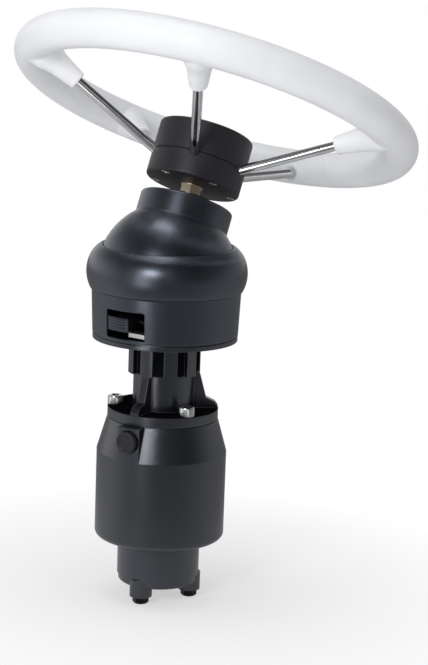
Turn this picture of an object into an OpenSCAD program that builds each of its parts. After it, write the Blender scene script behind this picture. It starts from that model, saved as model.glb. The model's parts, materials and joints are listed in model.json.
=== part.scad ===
// Hydraulic helm pump with a tilting head and a five-spoke steering wheel.
// The origin is the centre of the dash face, +Z runs up the pump axis to the wheel,
// the release lever and the filler plug face -Y, and the head leans towards +Y.

/* [Steering wheel] */
// Outside diameter of the rim
wheel_d = 350; // [300:5:400]
// Thickness of the rim's tube
rim_d = 31.4; // [26:0.2:36]
// Height of the rim's middle plane above the seam of the hub covers
rim_lift = 52.5; // [45:0.5:68]
// Diameter of a spoke
spoke_d = 8; // [6:0.5:10]
// Turn of the first spoke from the tilt axis
spoke_phase = 10; // [0:1:71]
// Length of the moulded socket that stands out of the rim
socket_len = 28; // [18:1:36]
// Diameter of the socket's free end
socket_d = 15; // [13:0.5:18]
// Diameter of the socket at the rim's centre line
socket_root_d = 27; // [22:0.5:30]

/* [Hub] */
// Diameter of the hub covers
hub_d = 80; // [76:1:96]
// Gap between the collar's top and the hub's underside
hub_gap = 14.4; // [11.5:0.1:17.5]
// Height of the lower hub cover, up to the seam
hub_base_h = 21.1; // [19:0.1:23]
// Height of the upper hub cover
hub_cover_h = 27.1; // [25.5:0.1:35]
// Round of the hub's top edge
hub_round = 2.5; // [2:0.5:8]
// Round of the hub's bottom edge
hub_foot_round = 2.5; // [1:0.5:4]
// Depth of the V groove along the seam of the hub covers
seam_groove = 0.9; // [0.5:0.1:1.5]
// Wall of the hub covers
hub_wall = 4; // [3:0.5:5]
// Distance of the metal hub core that holds the spokes inside the covers' outside
core_inset = 12; // [11:0.5:14]
// Distance of the hub cover screws' circle inside the covers' outside
hub_screw_inset = 5.5; // [5:0.1:6]
// Thread diameter of a hub cover screw
hub_screw_d = 4; // [3:0.5:4.5]
// Depth of the hub cover screws' heads below the hub's underside
hub_screw_sink = 0.2; // [0.1:0.1:1]

/* [Wheel shaft] */
// Diameter of the shaft in its bushes
shaft_d = 20; // [18:0.5:21]
// Diameter of the bare shaft under the hub, where its taper starts
taper_d = 19; // [17:0.5:19.5]
// Width across the spanner flats of the bare shaft
shaft_flats = 16; // [14:0.5:16.4]
// Loss of diameter for each millimetre of taper
taper_rate = 0.0833; // [0.05:0.0001:0.1]
// Thread diameter at the shaft's end
shaft_thread_d = 15.8; // [14:0.1:16]
// Width across the flats of the wheel nut
wheel_nut_af = 24; // [22:1:27]
// Width of the shaft key
key_w = 4.8; // [4:0.1:6]
// Diameter of the drive pin across the shaft's ball end
drive_pin_d = 8; // [6:0.5:8]
// Diameter of the ball end
ball_d = 19; // [17:0.5:20]

/* [Tilting head] */
// Lean of the head at rest, which is one end of its travel
lean = 24; // [20:1:24]
// Step between two locked positions
lock_step = 12; // [10:1:12]
// Outside diameter of the dome
dome_d = 116; // [104:0.5:130]
// Wall of the dome and of its collar
dome_wall = 3; // [2:0.2:3.4]
// Gap between the dome and the bezel
dome_gap = 0.5; // [0.4:0.1:1]
// Diameter of the collar on the dome
collar_d = 78.6; // [74:0.2:80]
// Height of the collar above the dome's crown
collar_rise = 3.5; // [2:0.5:5]
// Diameter of the pivot pins
pivot_pin_d = 10; // [8:0.5:11]
// Distance of each yoke arm's inner face from the middle
yoke_in = 25; // [24.5:0.1:26]
// Thickness of a yoke arm
yoke_arm_t = 7; // [6:0.5:8]
// Distance of the locking sector's edge inside the dome's outside
sector_inset = 12; // [11.6:0.1:13]
// Gap between the locking sector and the base plate
sector_clear = 3.7; // [3.4:0.1:5]
// Depth of a locking notch
notch_depth = 3.5; // [3.2:0.1:4]
// Width of a locking notch
notch_w = 7; // [6.5:0.1:8]

/* [Bezel] */
// Distance of the base plate's edge inside the bezel's foot
plate_inset = 0.2; // [0:0.1:1]
// Thickness of the base plate
plate_t = 5; // [4:0.2:5.4]
// Height of the groove between the base plate and the bezel
edge_groove = 1.2; // [0.8:0.1:1.6]
// Distance of the crease under the bezel's round shoulder outside the dome
crease_out = 5.15; // [4.2:0.05:6]
// Distance of the bezel's foot inside the crease
foot_in = 2.35; // [1.5:0.05:3]
// Distance of the crease below the tilt pivot
crease_drop = 13; // [11:0.1:16]
// Radius of the bezel's round shoulder
shoulder_r = 31; // [30.5:0.1:32]
// Height of the bezel's lip above the tilt pivot
lip_rise = 22.5; // [20:0.5:23]
// Wall at the foot of the bezel
bezel_wall = 3; // [2:0.2:3.4]
// Distance of the dash bolts' circle inside the base plate's edge
dash_inset = 8.6; // [8:0.1:11]
// Thread diameter of the dash bolts
dash_bolt_d = 6; // [5:0.5:6.5]

/* [Release lever] */
// Left edge of the lever's window
window_x0 = -15.5; // [-16.5:0.5:-15]
// Right edge of the lever's window
window_x1 = 21.5; // [21:0.1:22.5]
// Bottom of the lever's window
window_z0 = 7.2; // [7:0.2:8.2]
// Top of the lever's window
window_z1 = 30.5; // [28:0.5:33]
// Right edge of the lever's paddle
paddle_x1 = 7; // [5:0.5:8]
// Bottom of the paddle
paddle_z0 = 13.4; // [13:0.1:14]
// Top of the paddle
paddle_z1 = 24.5; // [24.5:0.5:27]
// Distance of the lever's pin inside the bezel's wall
lever_pin_inset = 13.8; // [12.8:0.1:14.8]
// Height of the lever's pin
lever_pin_z = 20; // [19:0.5:21]
// Diameter of the lever's pin
lever_pin_d = 5; // [4:0.5:5]
// Travel of the lever, from pressed to locked
lever_travel = 7.2; // [7:0.1:7.5]

/* [Neck] */
// Turn of the neck's foot and of the pump about the pump axis
pump_turn = 6; // [0:1:12]
// Diameter over the ribs of the neck
neck_d = 60.6; // [59:0.2:62]
// Depth of the grooves between the ribs
rib_depth = 5; // [3:0.1:5.2]
// Width of a groove between two ribs
groove_w = 9.6; // [5:0.2:10]
// Number of ribs round the neck
rib_count = 9; // [6:1:12]
// Length of the ribs
rib_len = 29; // [24:0.5:32]
// Diameter of the neck below its ribs
neck_core_d = 51; // [49:0.5:52]
// Thickness of the neck's three fins
fin_t = 7; // [5:0.5:10]
// Depth of the screw seats below the dash face
seat_depth = 58.6; // [56:0.2:61]
// Thickness of the neck's flange
flange_t = 8; // [7:0.5:9]
// Diameter of the neck's flange
flange_d = 93; // [91:0.5:95]
// Distance of the neck's spigot inside the circle of the flange screws
spigot_inset = 7.1; // [6.8:0.1:8]
// Length of the neck's spigot in the pump
spigot_len = 8; // [7:0.5:9]
// Distance of the flange screws' circle inside the flange's edge
flange_screw_inset = 6.5; // [6:0.1:7.5]
// Thread diameter of the flange screws
flange_screw_d = 8; // [7:0.5:8]
// Length of the flange screws under their heads
flange_screw_len = 22; // [18:1:26]

/* [Pump housing] */
// Diameter of the pump housing
pump_d = 109.5; // [107:0.5:114]
// Length of the cone under the flange
cone_len = 29.3; // [26:0.1:32]
// Length of the housing under the flange
housing_len = 104.1; // [102:0.1:112]
// Round of the housing's bottom edge
housing_round = 4.5; // [2:0.5:6]
// Wall of the oil reservoir
reservoir_wall = 7.5; // [6:0.5:9]
// Thickness of the housing's floor
floor_t = 12.7; // [11:0.1:14]
// Width of the filler pad that stands out of the cone
filler_pad_w = 20.4; // [20:0.2:24]
// Distance of the filler plug below the top of the cone
filler_drop = 11.5; // [11:0.5:14]
// Diameter of the filler plug's head
filler_d = 18.4; // [17:0.2:18.6]
// Height of the filler plug's head above its seat
filler_h = 5.8; // [4:0.2:7]
// Thread diameter of the filler plug
filler_thread_d = 12; // [10:0.5:12.5]

/* [End cap] */
// Diameter of the end cap
cap_d = 69.6; // [68:0.2:73]
// Length of the end cap
cap_len = 39.3; // [36:0.1:42]
// Height of the narrower band at the end cap's foot
cap_band_h = 6; // [4:0.5:8]
// Step between the end cap and its band
cap_step = 1.2; // [0.6:0.1:2]
// Bevel of the end cap's bottom edge
cap_bevel = 1; // [0.5:0.5:2]
// Circle of the end cap bolts
cap_bolt_pcd = 54; // [53:0.5:55]
// Thread diameter of the end cap bolts
cap_bolt_d = 8; // [6:0.5:8]
// Width across the flats of the end cap bolts
cap_bolt_af = 12; // [11:0.5:13]
// Height of the end cap bolts' heads
cap_bolt_head = 6; // [5:0.5:7]
// Diameter of the bolt bosses
boss_d = 19; // [17:0.5:20]
// Height of the bolt bosses
boss_h = 8.5; // [6:0.5:10]
// Thread diameter of the hydraulic ports
port_d = 13.2; // [11:0.2:14]
// Depth of the hydraulic ports
port_depth = 18; // [14:1:19]
// Distance between the two hydraulic ports in the cap's underside
port_spread = 24; // [23:0.5:24.5]
// Diameter of the spot face round a port
port_face_d = 15; // [14.4:0.2:15.2]

/* [Pump rotor] */
// Gap between the cylinder block and the bore round it
block_gap = 6.9; // [5.5:0.1:8]
// Length of the cylinder block
block_len = 28; // [26:0.5:29]
// Distance of the block's top below the dash face
block_depth = 100; // [99.5:0.5:101]
// Wall of the block outside the pistons
piston_wall = 4; // [3:0.1:5]
// Gap between the pistons and the pump shaft
piston_gap = 2; // [1.5:0.1:3]
// Length of a piston
piston_len = 24; // [20:1:25]
// Angle of the swash plate
swash_angle = 10; // [8:0.5:10]
// Thickness of the thrust race
race_t = 3; // [2:0.5:3]
// Diameter of the pump shaft
pump_shaft_d = 20; // [18:0.5:20]
// Width across the flats of the hexagon that drives the block
drive_af = 15; // [13:0.5:16]
// Diameter of the pump shaft's pilot end
pilot_d = 13; // [11:0.5:13]

/* [Fits] */
// Radial clearance of shafts and pins that turn
running_gap = 0.04; // [0.02:0.01:0.08]
// Radial clearance of pieces that are fitted and stay
fit_gap = 0.05; // [0.02:0.01:0.08]
// Gap between pieces that pass each other
clear_gap = 0.3; // [0.2:0.05:0.5]

/* [Hidden] */
$fn = 48;
eps = 0.01;
spoke_count = 5;
piston_count = 7;
corner_count = 3;
dash_bolt_count = 4;
neck_screw_count = 4;

// Tilting head and bezel, from the dome outwards
dome_r = dome_d / 2;
dome_in_r = dome_r - dome_wall;
sector_r = dome_r - sector_inset;
pivot_z = plate_t + sector_clear + sector_r;
collar_top = dome_r + collar_rise;
bezel_crease_d = dome_d + 2 * crease_out;
bezel_foot_d = bezel_crease_d - 2 * foot_in;
bezel_in_r = bezel_foot_d / 2 - bezel_wall;
plate_d = bezel_foot_d - 2 * plate_inset;
crease_z = pivot_z - crease_drop;
dash_pcd = plate_d - 2 * dash_inset;
lever_pin_y = bezel_in_r - lever_pin_inset;

// Heights of the hub and of the rim above the tilt pivot, along the wheel shaft
hub_bottom = collar_top + hub_gap;
hub_seam = hub_bottom + hub_base_h;
hub_top = hub_seam + hub_cover_h;
rim_rise = hub_seam + rim_lift;

// Neck and rotor, from the flange inwards
flange_pcd = flange_d - 2 * flange_screw_inset;
spigot_d = flange_pcd - 2 * spigot_inset;
block_d = spigot_d - 2 * block_gap;
piston_d = (block_d - pump_shaft_d) / 2 - piston_wall - piston_gap;
piston_pcd = block_d - 2 * piston_wall - piston_d;

// Steering wheel
core_d = hub_d - 2 * core_inset;
hub_screw_pcd = hub_d - 2 * hub_screw_inset;
rim_r = (wheel_d - rim_d) / 2;
spoke_angle = atan((rim_rise - hub_seam) / (rim_r - hub_d / 2));
spoke_in_r = 0.66 * core_d / 2;
spoke_out_r = rim_r - rim_d / 4;
socket_end_r = rim_r - rim_d / 2 - socket_len;

// Hub and wheel shaft
hub_floor = hub_bottom + hub_wall;
core_top = hub_floor + 23;
hub_cavity_r = core_d / 2 + 1;
hub_slot_gap = 0.15;
washer_t = 2.5;
wheel_nut_h = 11;
hub_screw_head_d = 1.75 * hub_screw_d;
hub_screw_head_h = 4;
hub_screw_reach = 12;
hub_screw_seat = hub_bottom + hub_screw_sink + hub_screw_head_h;
key_from = hub_floor + 4;
key_to = core_top - 3;
key_depth = 2.4;
shaft_end = core_top + washer_t + wheel_nut_h + 2;
stem_d = 13;
shoulder_from = 17;
shoulder_to = 22;
shoulder_d = shaft_d + 5;
bush_wall = 2.5;
bush_len = 12;
yoke_neck_d = shaft_d + 2 * bush_wall + 5;
yoke_tube_d = yoke_neck_d + 10;
yoke_top = collar_top + 4.5;
circlip_t = 1.3;
circlip_depth = 0.8;
circlip_d = shaft_d + 5;
circlip_at = yoke_top + 0.1;
nut_ring_d = yoke_neck_d + 10;
flats_from = circlip_at + circlip_t + 1.2;
flats_to = hub_bottom - 0.6;

// Cup of the shaft joint
cup_in_r = ball_d / 2 + 1.5;
cup_wall = 6;
cup_r = cup_in_r + cup_wall;
cup_top = 7;
cup_floor = -14;
cup_floor_t = 6;
slot_side_gap = 1.1;
drive_pin_reach = cup_r - 1.5;
slot_bottom = -(drive_pin_reach * sin(lean) + drive_pin_d / 2 + 1.4);

// Tilting head
dome_edge = -4;
collar_r = collar_d / 2;
collar_round = 2;
collar_plate_t = 4;
yoke_half_w = 13;
yoke_bridge_from = 27;
yoke_bridge_to = 39;
sector_t = 5.6;
sector_out = yoke_in - eps;
sector_in = sector_out - sector_t;
sector_rim = 10;
pawl_angle = 67;
sector_margin = 5;
pivot_boss_d = pivot_pin_d + 12;

// Ears of the base plate that carry the pivot pins
ear_in = yoke_in + yoke_arm_t + 1.5;
ear_t = 8;
ear_out = ear_in + ear_t;
ear_half_w = 13;
pin_in = sector_in + 0.4;
pin_out = ear_out + 1;

// Bezel
shoulder_centre_r = bezel_crease_d / 2 - sqrt(pow(shoulder_r, 2) - pow(pivot_z - crease_z, 2));
bezel_sphere_r = dome_r + dome_gap;
bezel_bore_top = pivot_z - 8;
bore_step = 0.25;
crease_step = 0.9;
bezel_bore_top_r = sqrt(pow(bezel_sphere_r, 2) - pow(pivot_z - bezel_bore_top, 2)) - bore_step;
lip_z = pivot_z + lip_rise;
locating_lip_h = 2;
window_round = 1.5;
edge_groove_depth = 1.4;

// Release lever
paddle_gap = 0.5;
paddle_t = 5;
paddle_inset = 0.6;
lever_arm_t = 4;
lever_barrel_d = lever_pin_d + 4;
post_t = 4;
post_half_w = 3.2;
post_left = window_x0 - 2;
post_right = sector_out + 2;
pawl_t = sector_t - 2 * clear_gap;
pawl_in = sector_in + clear_gap;
pawl_tip_r = sector_r - notch_depth + 0.8;
pawl_root_r = sector_r + 0.5;
pawl_back_r = sector_r + 2.4;
paddle_draft = (bezel_crease_d - bezel_foot_d) / 2 - crease_step;
paddle_r = bezel_foot_d / 2 - paddle_inset;
paddle_back_r = paddle_r - paddle_t + paddle_draft * (paddle_z0 - plate_t) / (crease_z - plate_t);
latch_front = sqrt(pow(bezel_in_r - 0.7, 2) - pow(pawl_in + pawl_t, 2));
strap_y = sqrt(pow(paddle_back_r, 2) - pow(paddle_x1, 2)) - 0.1;
strap_t = strap_y - latch_front + 0.8;
strap_x0 = paddle_x1 - 3;
strap_x1 = window_x1 - paddle_gap - 0.4;
strap_z0 = window_z0 + 1.6;
strap_z1 = paddle_z0 + 1.6;
spring_wire_d = 1.2;
spring_turns = 5;
spring_pitch = 1.6;
spring_r = lever_pin_d / 2 + 0.4 + spring_wire_d / 2;
spring_steps = 14;
spring_sides = 6;

// Neck, with heights measured from the dash face
seat_z = -seat_depth;
flange_z = seat_z - flange_t;
neck_r = neck_d / 2;
spigot_z = flange_z - spigot_len;
neck_bush_d = pump_shaft_d + 2 * 5;
neck_bush_len = 16;
neck_bore_d = pump_shaft_d + 4;
seal_d = neck_bush_d;
pilot_ring_d = neck_bush_d + 6;
neck_screw_d = 5;
neck_screw_head_d = 8.8;
neck_screw_pcd = pilot_ring_d + neck_screw_head_d + 1.2;
neck_screw_len = 19;
flange_head_d = 1.625 * flange_screw_d;
flange_head_h = flange_screw_d;
flange_socket_af = 0.75 * flange_screw_d;
oring_d = 3;
oring_groove = 3.4;
rib_phase = 97;

// Pump housing
housing_top = flange_z;
step_h = 0.8;
step_d = flange_d - 2;
cone_top_z = housing_top - step_h;
cone_foot_z = housing_top - cone_len;
housing_foot = housing_top - housing_len;
cone_slope = (pump_d - flange_d) / 2 / (cone_top_z - cone_foot_z);
cone_over = 2;
rotor_bore_d = spigot_d + 2 * fit_gap;
block_top = -block_depth;
reservoir_top = block_top;
reservoir_floor = housing_foot + floor_t;
reservoir_d = pump_d - 2 * reservoir_wall;
valve_plate_t = 2.8;
block_foot = block_top - block_len;
pedestal_top = block_foot - 0.2 - valve_plate_t;
pedestal_d = block_d;
cap_spigot_d = 36;
filler_seal_t = 1.6;
filler_face_d = filler_d + 0.6;
filler_seat_y = sqrt(pow(pump_d / 2, 2) - pow(filler_face_d / 2, 2)) - 0.6;

// End cap
cap_foot = housing_foot - cap_len;
cap_band_d = cap_d - 2 * cap_step;
pilot_depth = 14;
port_face_depth = 0.8;
cap_bolt_reach = floor_t - 2;

// Pump rotor
swash_r = block_d / 2;
swash_mid = spigot_z - 11.4;
race_r = swash_r - 1;
race_low = swash_mid - race_t / cos(swash_angle) - race_r * tan(swash_angle);
piston_top = race_low - 0.4;
piston_foot = piston_top - piston_len;
piston_bore_foot = piston_foot - 6;
swash_bore_d = pump_shaft_d + 6;

// Height of a spoke's centre line above the tilt pivot, at a radius from the wheel shaft
function spoke_height(r) = hub_seam + (r - hub_d / 2) * tan(spoke_angle);
// Radius of the shaft's taper at a height above the tilt pivot
function taper_r(s) = taper_d / 2 - max(0, s - hub_floor) * taper_rate / 2;
// Diameter of a circle round a hexagon, from its width across the flats
function hex_d(af) = af / cos(30);

// Frame of the tilting head: its Z axis is the wheel shaft, and its origin is the tilt pivot
module leaned() {
    translate([0, 0, pivot_z]) rotate([-lean, 0, 0]) children();
}

// Frame on a spoke's centre line at a radius, with Z running outwards along the spoke
module along_spoke(i, r) {
    rotate([0, 0, spoke_phase + i * 360 / spoke_count])
        translate([r, 0, spoke_height(r)])
            rotate([0, 90 - spoke_angle, 0])
                children();
}

// One turn of copies at a radius, starting from an angle
module ring_of(count, r, from = 0) {
    for (i = [0 : count - 1]) {
        rotate([0, 0, from + i * 360 / count]) translate([r, 0, 0]) children();
    }
}

// A cylinder between two heights
module rod(d, from, to) {
    translate([0, 0, from]) cylinder(d = d, h = to - from);
}

// A tube between two heights
module tube(d_out, d_in, from, to) {
    difference() {
        rod(d_out, from, to);
        rod(d_in, from - 1, to + 1);
    }
}

// A cylinder along X between two places
module cross_rod(d, from, to) {
    translate([from, 0, 0]) rotate([0, 90, 0]) cylinder(d = d, h = to - from);
}

// A plate across X, drawn with its first axis along Y and its second along Z
module side_plate(from, to) {
    translate([from, 0, 0]) rotate([90, 0, 90]) linear_extrude(to - from) children();
}

// Half of a ring's section with one rounded corner at the outside of its top
module rounded_block(r, from, to, round) {
    translate([0, from]) square([r, to - from - round]);
    translate([0, from]) square([r - round, to - from]);
    translate([r - round, to - round]) circle(round);
}

// Steering wheel
module wheel_rim() {
    color("white") leaned() difference() {
        union() {
            translate([0, 0, rim_rise]) rotate_extrude($fn = 96) translate([rim_r, 0]) circle(d = rim_d);
            for (i = [0 : spoke_count - 1]) {
                socket_run = (rim_r - socket_end_r) / cos(spoke_angle);
                along_spoke(i, socket_end_r) cylinder(d1 = socket_d, d2 = socket_root_d, h = socket_run);
            }
        }
        for (i = [0 : spoke_count - 1]) {
            bore_len = (spoke_out_r + clear_gap - socket_end_r) / cos(spoke_angle) + 1;
            along_spoke(i, socket_end_r) translate([0, 0, -1])
                cylinder(d = spoke_d + 2 * fit_gap, h = bore_len);
        }
    }
}

module spoke(i) {
    spoke_run = (spoke_out_r - spoke_in_r) / cos(spoke_angle);
    color("silver") leaned() along_spoke(i, spoke_in_r) cylinder(d = spoke_d, h = spoke_run);
}

// Cuts that let the spokes through a hub piece
module spoke_cuts(gap) {
    for (i = [0 : spoke_count - 1]) {
        along_spoke(i, spoke_in_r - clear_gap) cylinder(d = spoke_d + 2 * gap, h = hub_d);
    }
}

module hub_core() {
    color("gray") leaned() difference() {
        rod(core_d, hub_floor, core_top);
        rod(taper_d + 2 * fit_gap, hub_floor - 1, hub_floor + eps);
        translate([0, 0, hub_floor])
            cylinder(r1 = taper_d / 2 + fit_gap, r2 = taper_r(core_top) + fit_gap, h = core_top - hub_floor);
        rod(2 * taper_r(core_top) + 2 * fit_gap, core_top - eps, core_top + 1);
        key_cut(core_top + 1);
        spoke_cuts(fit_gap);
    }
}

// Slot for the shaft key, from its seat up to a height
module key_cut(to) {
    width = key_w + 2 * fit_gap;
    depth = taper_d / 2 + key_depth + fit_gap;
    translate([0, -width / 2, key_from - fit_gap]) cube([depth, width, to - key_from]);
}

module shaft_key() {
    in = taper_d / 2 - key_depth;
    color("dimgray") leaned()
        translate([in, -key_w / 2, key_from]) cube([2 * key_depth, key_w, key_to - key_from]);
}

module hub_base() {
    color([0.07, 0.07, 0.08]) leaned() difference() {
        translate([0, 0, hub_seam + hub_bottom]) mirror([0, 0, 1])
            rotate_extrude($fn = 96) rounded_block(hub_d / 2, hub_bottom, hub_seam, hub_foot_round);
        rod(2 * hub_cavity_r, hub_floor, hub_seam + 1);
        rod(taper_d + 2 * clear_gap, hub_bottom - 1, hub_floor + 1);
        spoke_cuts(hub_slot_gap);
        hub_seam_cut();
        hub_screw_places() {
            rod(hub_screw_d + 2 * fit_gap, hub_bottom - 1, hub_seam + 1);
            rod(hub_screw_head_d + 2 * clear_gap, hub_bottom - 1, hub_screw_seat);
        }
    }
}

module hub_cover() {
    color([0.09, 0.09, 0.1]) leaned() difference() {
        rotate_extrude($fn = 96) rounded_block(hub_d / 2, hub_seam, hub_top, hub_round);
        rod(2 * hub_cavity_r, hub_seam - 1, hub_top - hub_wall);
        spoke_cuts(hub_slot_gap);
        hub_seam_cut();
        hub_screw_places() {
            rod(hub_screw_d + 2 * fit_gap, hub_seam - 1, hub_seam + hub_screw_reach + 0.5);
        }
    }
}

// V groove round the hub, with its bottom on the seam
module hub_seam_cut() {
    rotate_extrude($fn = 96) translate([hub_d / 2, hub_seam])
        polygon([[-seam_groove, 0], [1, -seam_groove - 1], [1, seam_groove + 1]]);
}

// Places of the hub cover screws, midway between the spokes
module hub_screw_places() {
    ring_of(spoke_count, hub_screw_pcd / 2, spoke_phase + 180 / spoke_count) children();
}

module hub_screws() {
    color("silver") leaned() hub_screw_places() {
        rod(hub_screw_d, hub_screw_seat - eps, hub_seam + hub_screw_reach);
        difference() {
            rod(hub_screw_head_d, hub_bottom + hub_screw_sink, hub_screw_seat);
            translate([0, 0, hub_bottom]) cylinder(d = hex_d(hub_screw_d * 0.6), h = 2.5, $fn = 6);
        }
    }
}

module wheel_washer() {
    color("silver") leaned()
        tube(core_d / 2, shaft_thread_d + 2 * clear_gap, core_top, core_top + washer_t);
}

module wheel_nut() {
    from = core_top + washer_t;
    color("silver") leaned() difference() {
        translate([0, 0, from]) cylinder(d = hex_d(wheel_nut_af), h = wheel_nut_h, $fn = 6);
        rod(shaft_thread_d + 2 * fit_gap, from - 1, from + wheel_nut_h + 1);
    }
}

// Wheel shaft and its joint
module wheel_shaft() {
    color("darkkhaki") leaned() difference() {
        union() {
            sphere(d = ball_d);
            rod(stem_d, 0, shoulder_from + eps);
            rod(shoulder_d, shoulder_from, shoulder_to);
            rod(shaft_d, shoulder_to - eps, circlip_at + circlip_t + 1);
            rod(taper_d, circlip_at, flats_from + eps);
            translate([0, 0, flats_from])
                cylinder(d = hex_d(shaft_flats), h = flats_to - flats_from, $fn = 6);
            rod(taper_d, flats_to - eps, hub_floor);
            translate([0, 0, hub_floor])
                cylinder(r1 = taper_d / 2, r2 = taper_r(core_top), h = core_top - hub_floor);
            rod(shaft_thread_d, core_top - eps, shaft_end);
        }
        cross_rod(drive_pin_d + 2 * fit_gap, -ball_d, ball_d);
        tube(shaft_d + 5, shaft_d - 2 * circlip_depth, circlip_at, circlip_at + circlip_t + 0.1);
        in = taper_d / 2 - key_depth - fit_gap;
        width = key_w + 2 * fit_gap;
        translate([in, -width / 2, key_from - fit_gap])
            cube([taper_d, width, key_to - key_from + 2 * fit_gap]);
    }
}

module drive_pin() {
    color("dimgray") leaned() cross_rod(drive_pin_d, -drive_pin_reach, drive_pin_reach);
}

module shaft_circlip() {
    gap_w = 5;
    color("dimgray") leaned() difference() {
        tube(
            circlip_d, shaft_d - 2 * circlip_depth + 2 * fit_gap,
            circlip_at + fit_gap, circlip_at + circlip_t
        );
        translate([0, -gap_w / 2, circlip_at]) cube([circlip_d, gap_w, 2 * circlip_t]);
    }
}

// Tilting head
module dome_cover() {
    color([0.1, 0.1, 0.11]) leaned() difference() {
        rotate_extrude($fn = 96) difference() {
            union() {
                intersection() {
                    circle(dome_r);
                    translate([0, dome_edge]) square(2 * dome_r);
                }
                rounded_block(collar_r, 0, collar_top, collar_round);
            }
            intersection() {
                circle(dome_in_r);
                translate([0, dome_edge - 1]) square(2 * dome_r);
            }
            translate([0, dome_edge - 1])
                square([collar_r - dome_wall, collar_top - collar_plate_t - dome_edge + 1]);
            translate([-2 * dome_r, -2 * dome_r]) square([2 * dome_r, 4 * dome_r]);
        }
        rod(yoke_neck_d + 2 * fit_gap, 0, collar_top + 1);
    }
}

module tilt_yoke() {
    shelf = collar_top - collar_plate_t;
    color("dimgray") leaned() difference() {
        union() {
            rod(yoke_tube_d, shoulder_to + clear_gap, shelf);
            rod(yoke_neck_d, shelf - eps, yoke_top);
            translate([-yoke_in - 1, -yoke_half_w, yoke_bridge_from])
                cube([2 * yoke_in + 2, 2 * yoke_half_w, yoke_bridge_to - yoke_bridge_from]);
            for (side = [-1, 1]) {
                yoke_arm(side * (yoke_in + yoke_arm_t / 2));
            }
        }
        rod(shaft_d + 2 * clear_gap, 0, yoke_top + 1);
        bush_seat(shoulder_to);
        bush_seat(yoke_top - bush_len);
        cross_rod(pivot_pin_d + 2 * running_gap, -2 * yoke_in, 2 * yoke_in);
    }
}

module yoke_arm(x) {
    translate([x - yoke_arm_t / 2, -yoke_half_w, 0]) cube([yoke_arm_t, 2 * yoke_half_w, yoke_bridge_to]);
    cross_rod_at = x - yoke_arm_t / 2;
    cross_rod(2 * yoke_half_w, cross_rod_at, cross_rod_at + yoke_arm_t);
}

// Counterbore for a shaft bush
module bush_seat(from) {
    rod(shaft_d + 2 * bush_wall + 2 * fit_gap, from, from + bush_len + 1);
}

// Plain bush for the wheel shaft
module shaft_bush(from) {
    color("peru") leaned() tube(shaft_d + 2 * bush_wall, shaft_d + 2 * running_gap, from, from + bush_len);
}

module lower_bush() {
    shaft_bush(shoulder_to + clear_gap);
}

module upper_bush() {
    shaft_bush(yoke_top - bush_len);
}

module collar_nut() {
    notch_count = 6;
    notch = 4;
    color([0.08, 0.08, 0.09]) leaned() difference() {
        tube(nut_ring_d, yoke_neck_d + 2 * fit_gap, collar_top, yoke_top);
        ring_of(notch_count, nut_ring_d / 2 - 1.6) {
            translate([0, -notch / 2, collar_top - 1]) cube([notch, notch, yoke_top - collar_top + 2]);
        }
    }
}

// Notched sector on the yoke's inner side, with one notch for each locked position
module tilt_sector() {
    from = pawl_angle - lean - sector_margin;
    to = pawl_angle + lean + sector_margin;
    positions = round(2 * lean / lock_step);
    color("silver") leaned() difference() {
        side_plate(sector_in, sector_out) {
            difference() {
                intersection() {
                    circle(sector_r, $fn = 120);
                    wedge(from, to);
                }
                circle(sector_r - sector_rim);
                for (k = [0 : positions]) {
                    notch_at(pawl_angle + lean - k * lock_step);
                }
            }
            intersection() {
                circle(sector_r - sector_rim + 1);
                wedge(from + 6, to - 20);
            }
            circle(d = pivot_boss_d);
        }
        cross_rod(pivot_pin_d + 2 * running_gap, 0, 2 * yoke_in);
    }
}

// Wedge between two angles, counted down from the -Y side
module wedge(from, to) {
    reach = 4 * sector_r;
    mid = (from + to) / 2;
    ends = [from, mid, to];
    polygon(concat([[0, 0]], [for (a = ends) [-reach * cos(a), -reach * sin(a)]]));
}

// Notch in the sector's edge at an angle counted down from the -Y side
module notch_at(angle) {
    rotate([0, 0, 180 + angle]) translate([sector_r - notch_depth, -notch_w / 2])
        square([2 * notch_depth, notch_w]);
}

module pivot_pins() {
    color("silver") translate([0, 0, pivot_z]) {
        cross_rod(pivot_pin_d, pin_in, pin_out);
        cross_rod(pivot_pin_d, -pin_out, -pin_in);
    }
}

// Base plate and bezel
module base_plate() {
    color([0.12, 0.12, 0.13]) difference() {
        union() {
            rod(plate_d, 0, plate_t);
            tube(
                2 * (bezel_in_r - fit_gap), 2 * (bezel_in_r - fit_gap) - 5,
                plate_t - eps, plate_t + locating_lip_h
            );
            for (side = [-1, 1]) {
                pivot_ear(side * (ear_in + ear_t / 2));
            }
            lever_post(post_left);
            lever_post(post_right + post_t);
        }
        rod(pilot_ring_d + 2 * fit_gap, -1, plate_t + 1);
        tube(plate_d + 2, plate_d - 2 * edge_groove_depth, plate_t - edge_groove, plate_t + 1);
        ring_of(dash_bolt_count, dash_pcd / 2, 45) rod(dash_bolt_d, -1, plate_t + locating_lip_h + 1);
        ring_of(neck_screw_count, neck_screw_pcd / 2, 45) neck_screw_shape(fit_gap);
        translate([0, 0, pivot_z]) cross_rod(pivot_pin_d + 2 * fit_gap, -2 * ear_out, 2 * ear_out);
        translate([0, -lever_pin_y, lever_pin_z])
            cross_rod(lever_pin_d + 2 * fit_gap, -plate_d, plate_d);
    }
}

// Ear that carries a pivot pin, centred at a place along X
module pivot_ear(x) {
    translate([x - ear_t / 2, -ear_half_w, 0]) cube([ear_t, 2 * ear_half_w, pivot_z]);
    translate([0, 0, pivot_z]) cross_rod(2 * ear_half_w, x - ear_t / 2, x + ear_t / 2);
}

// Post that carries one end of the lever's pin, with its right face at a place along X
module lever_post(x) {
    translate([x - post_t, -lever_pin_y - post_half_w, 0])
        cube([post_t, 2 * post_half_w, lever_pin_z + post_half_w]);
}

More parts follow.
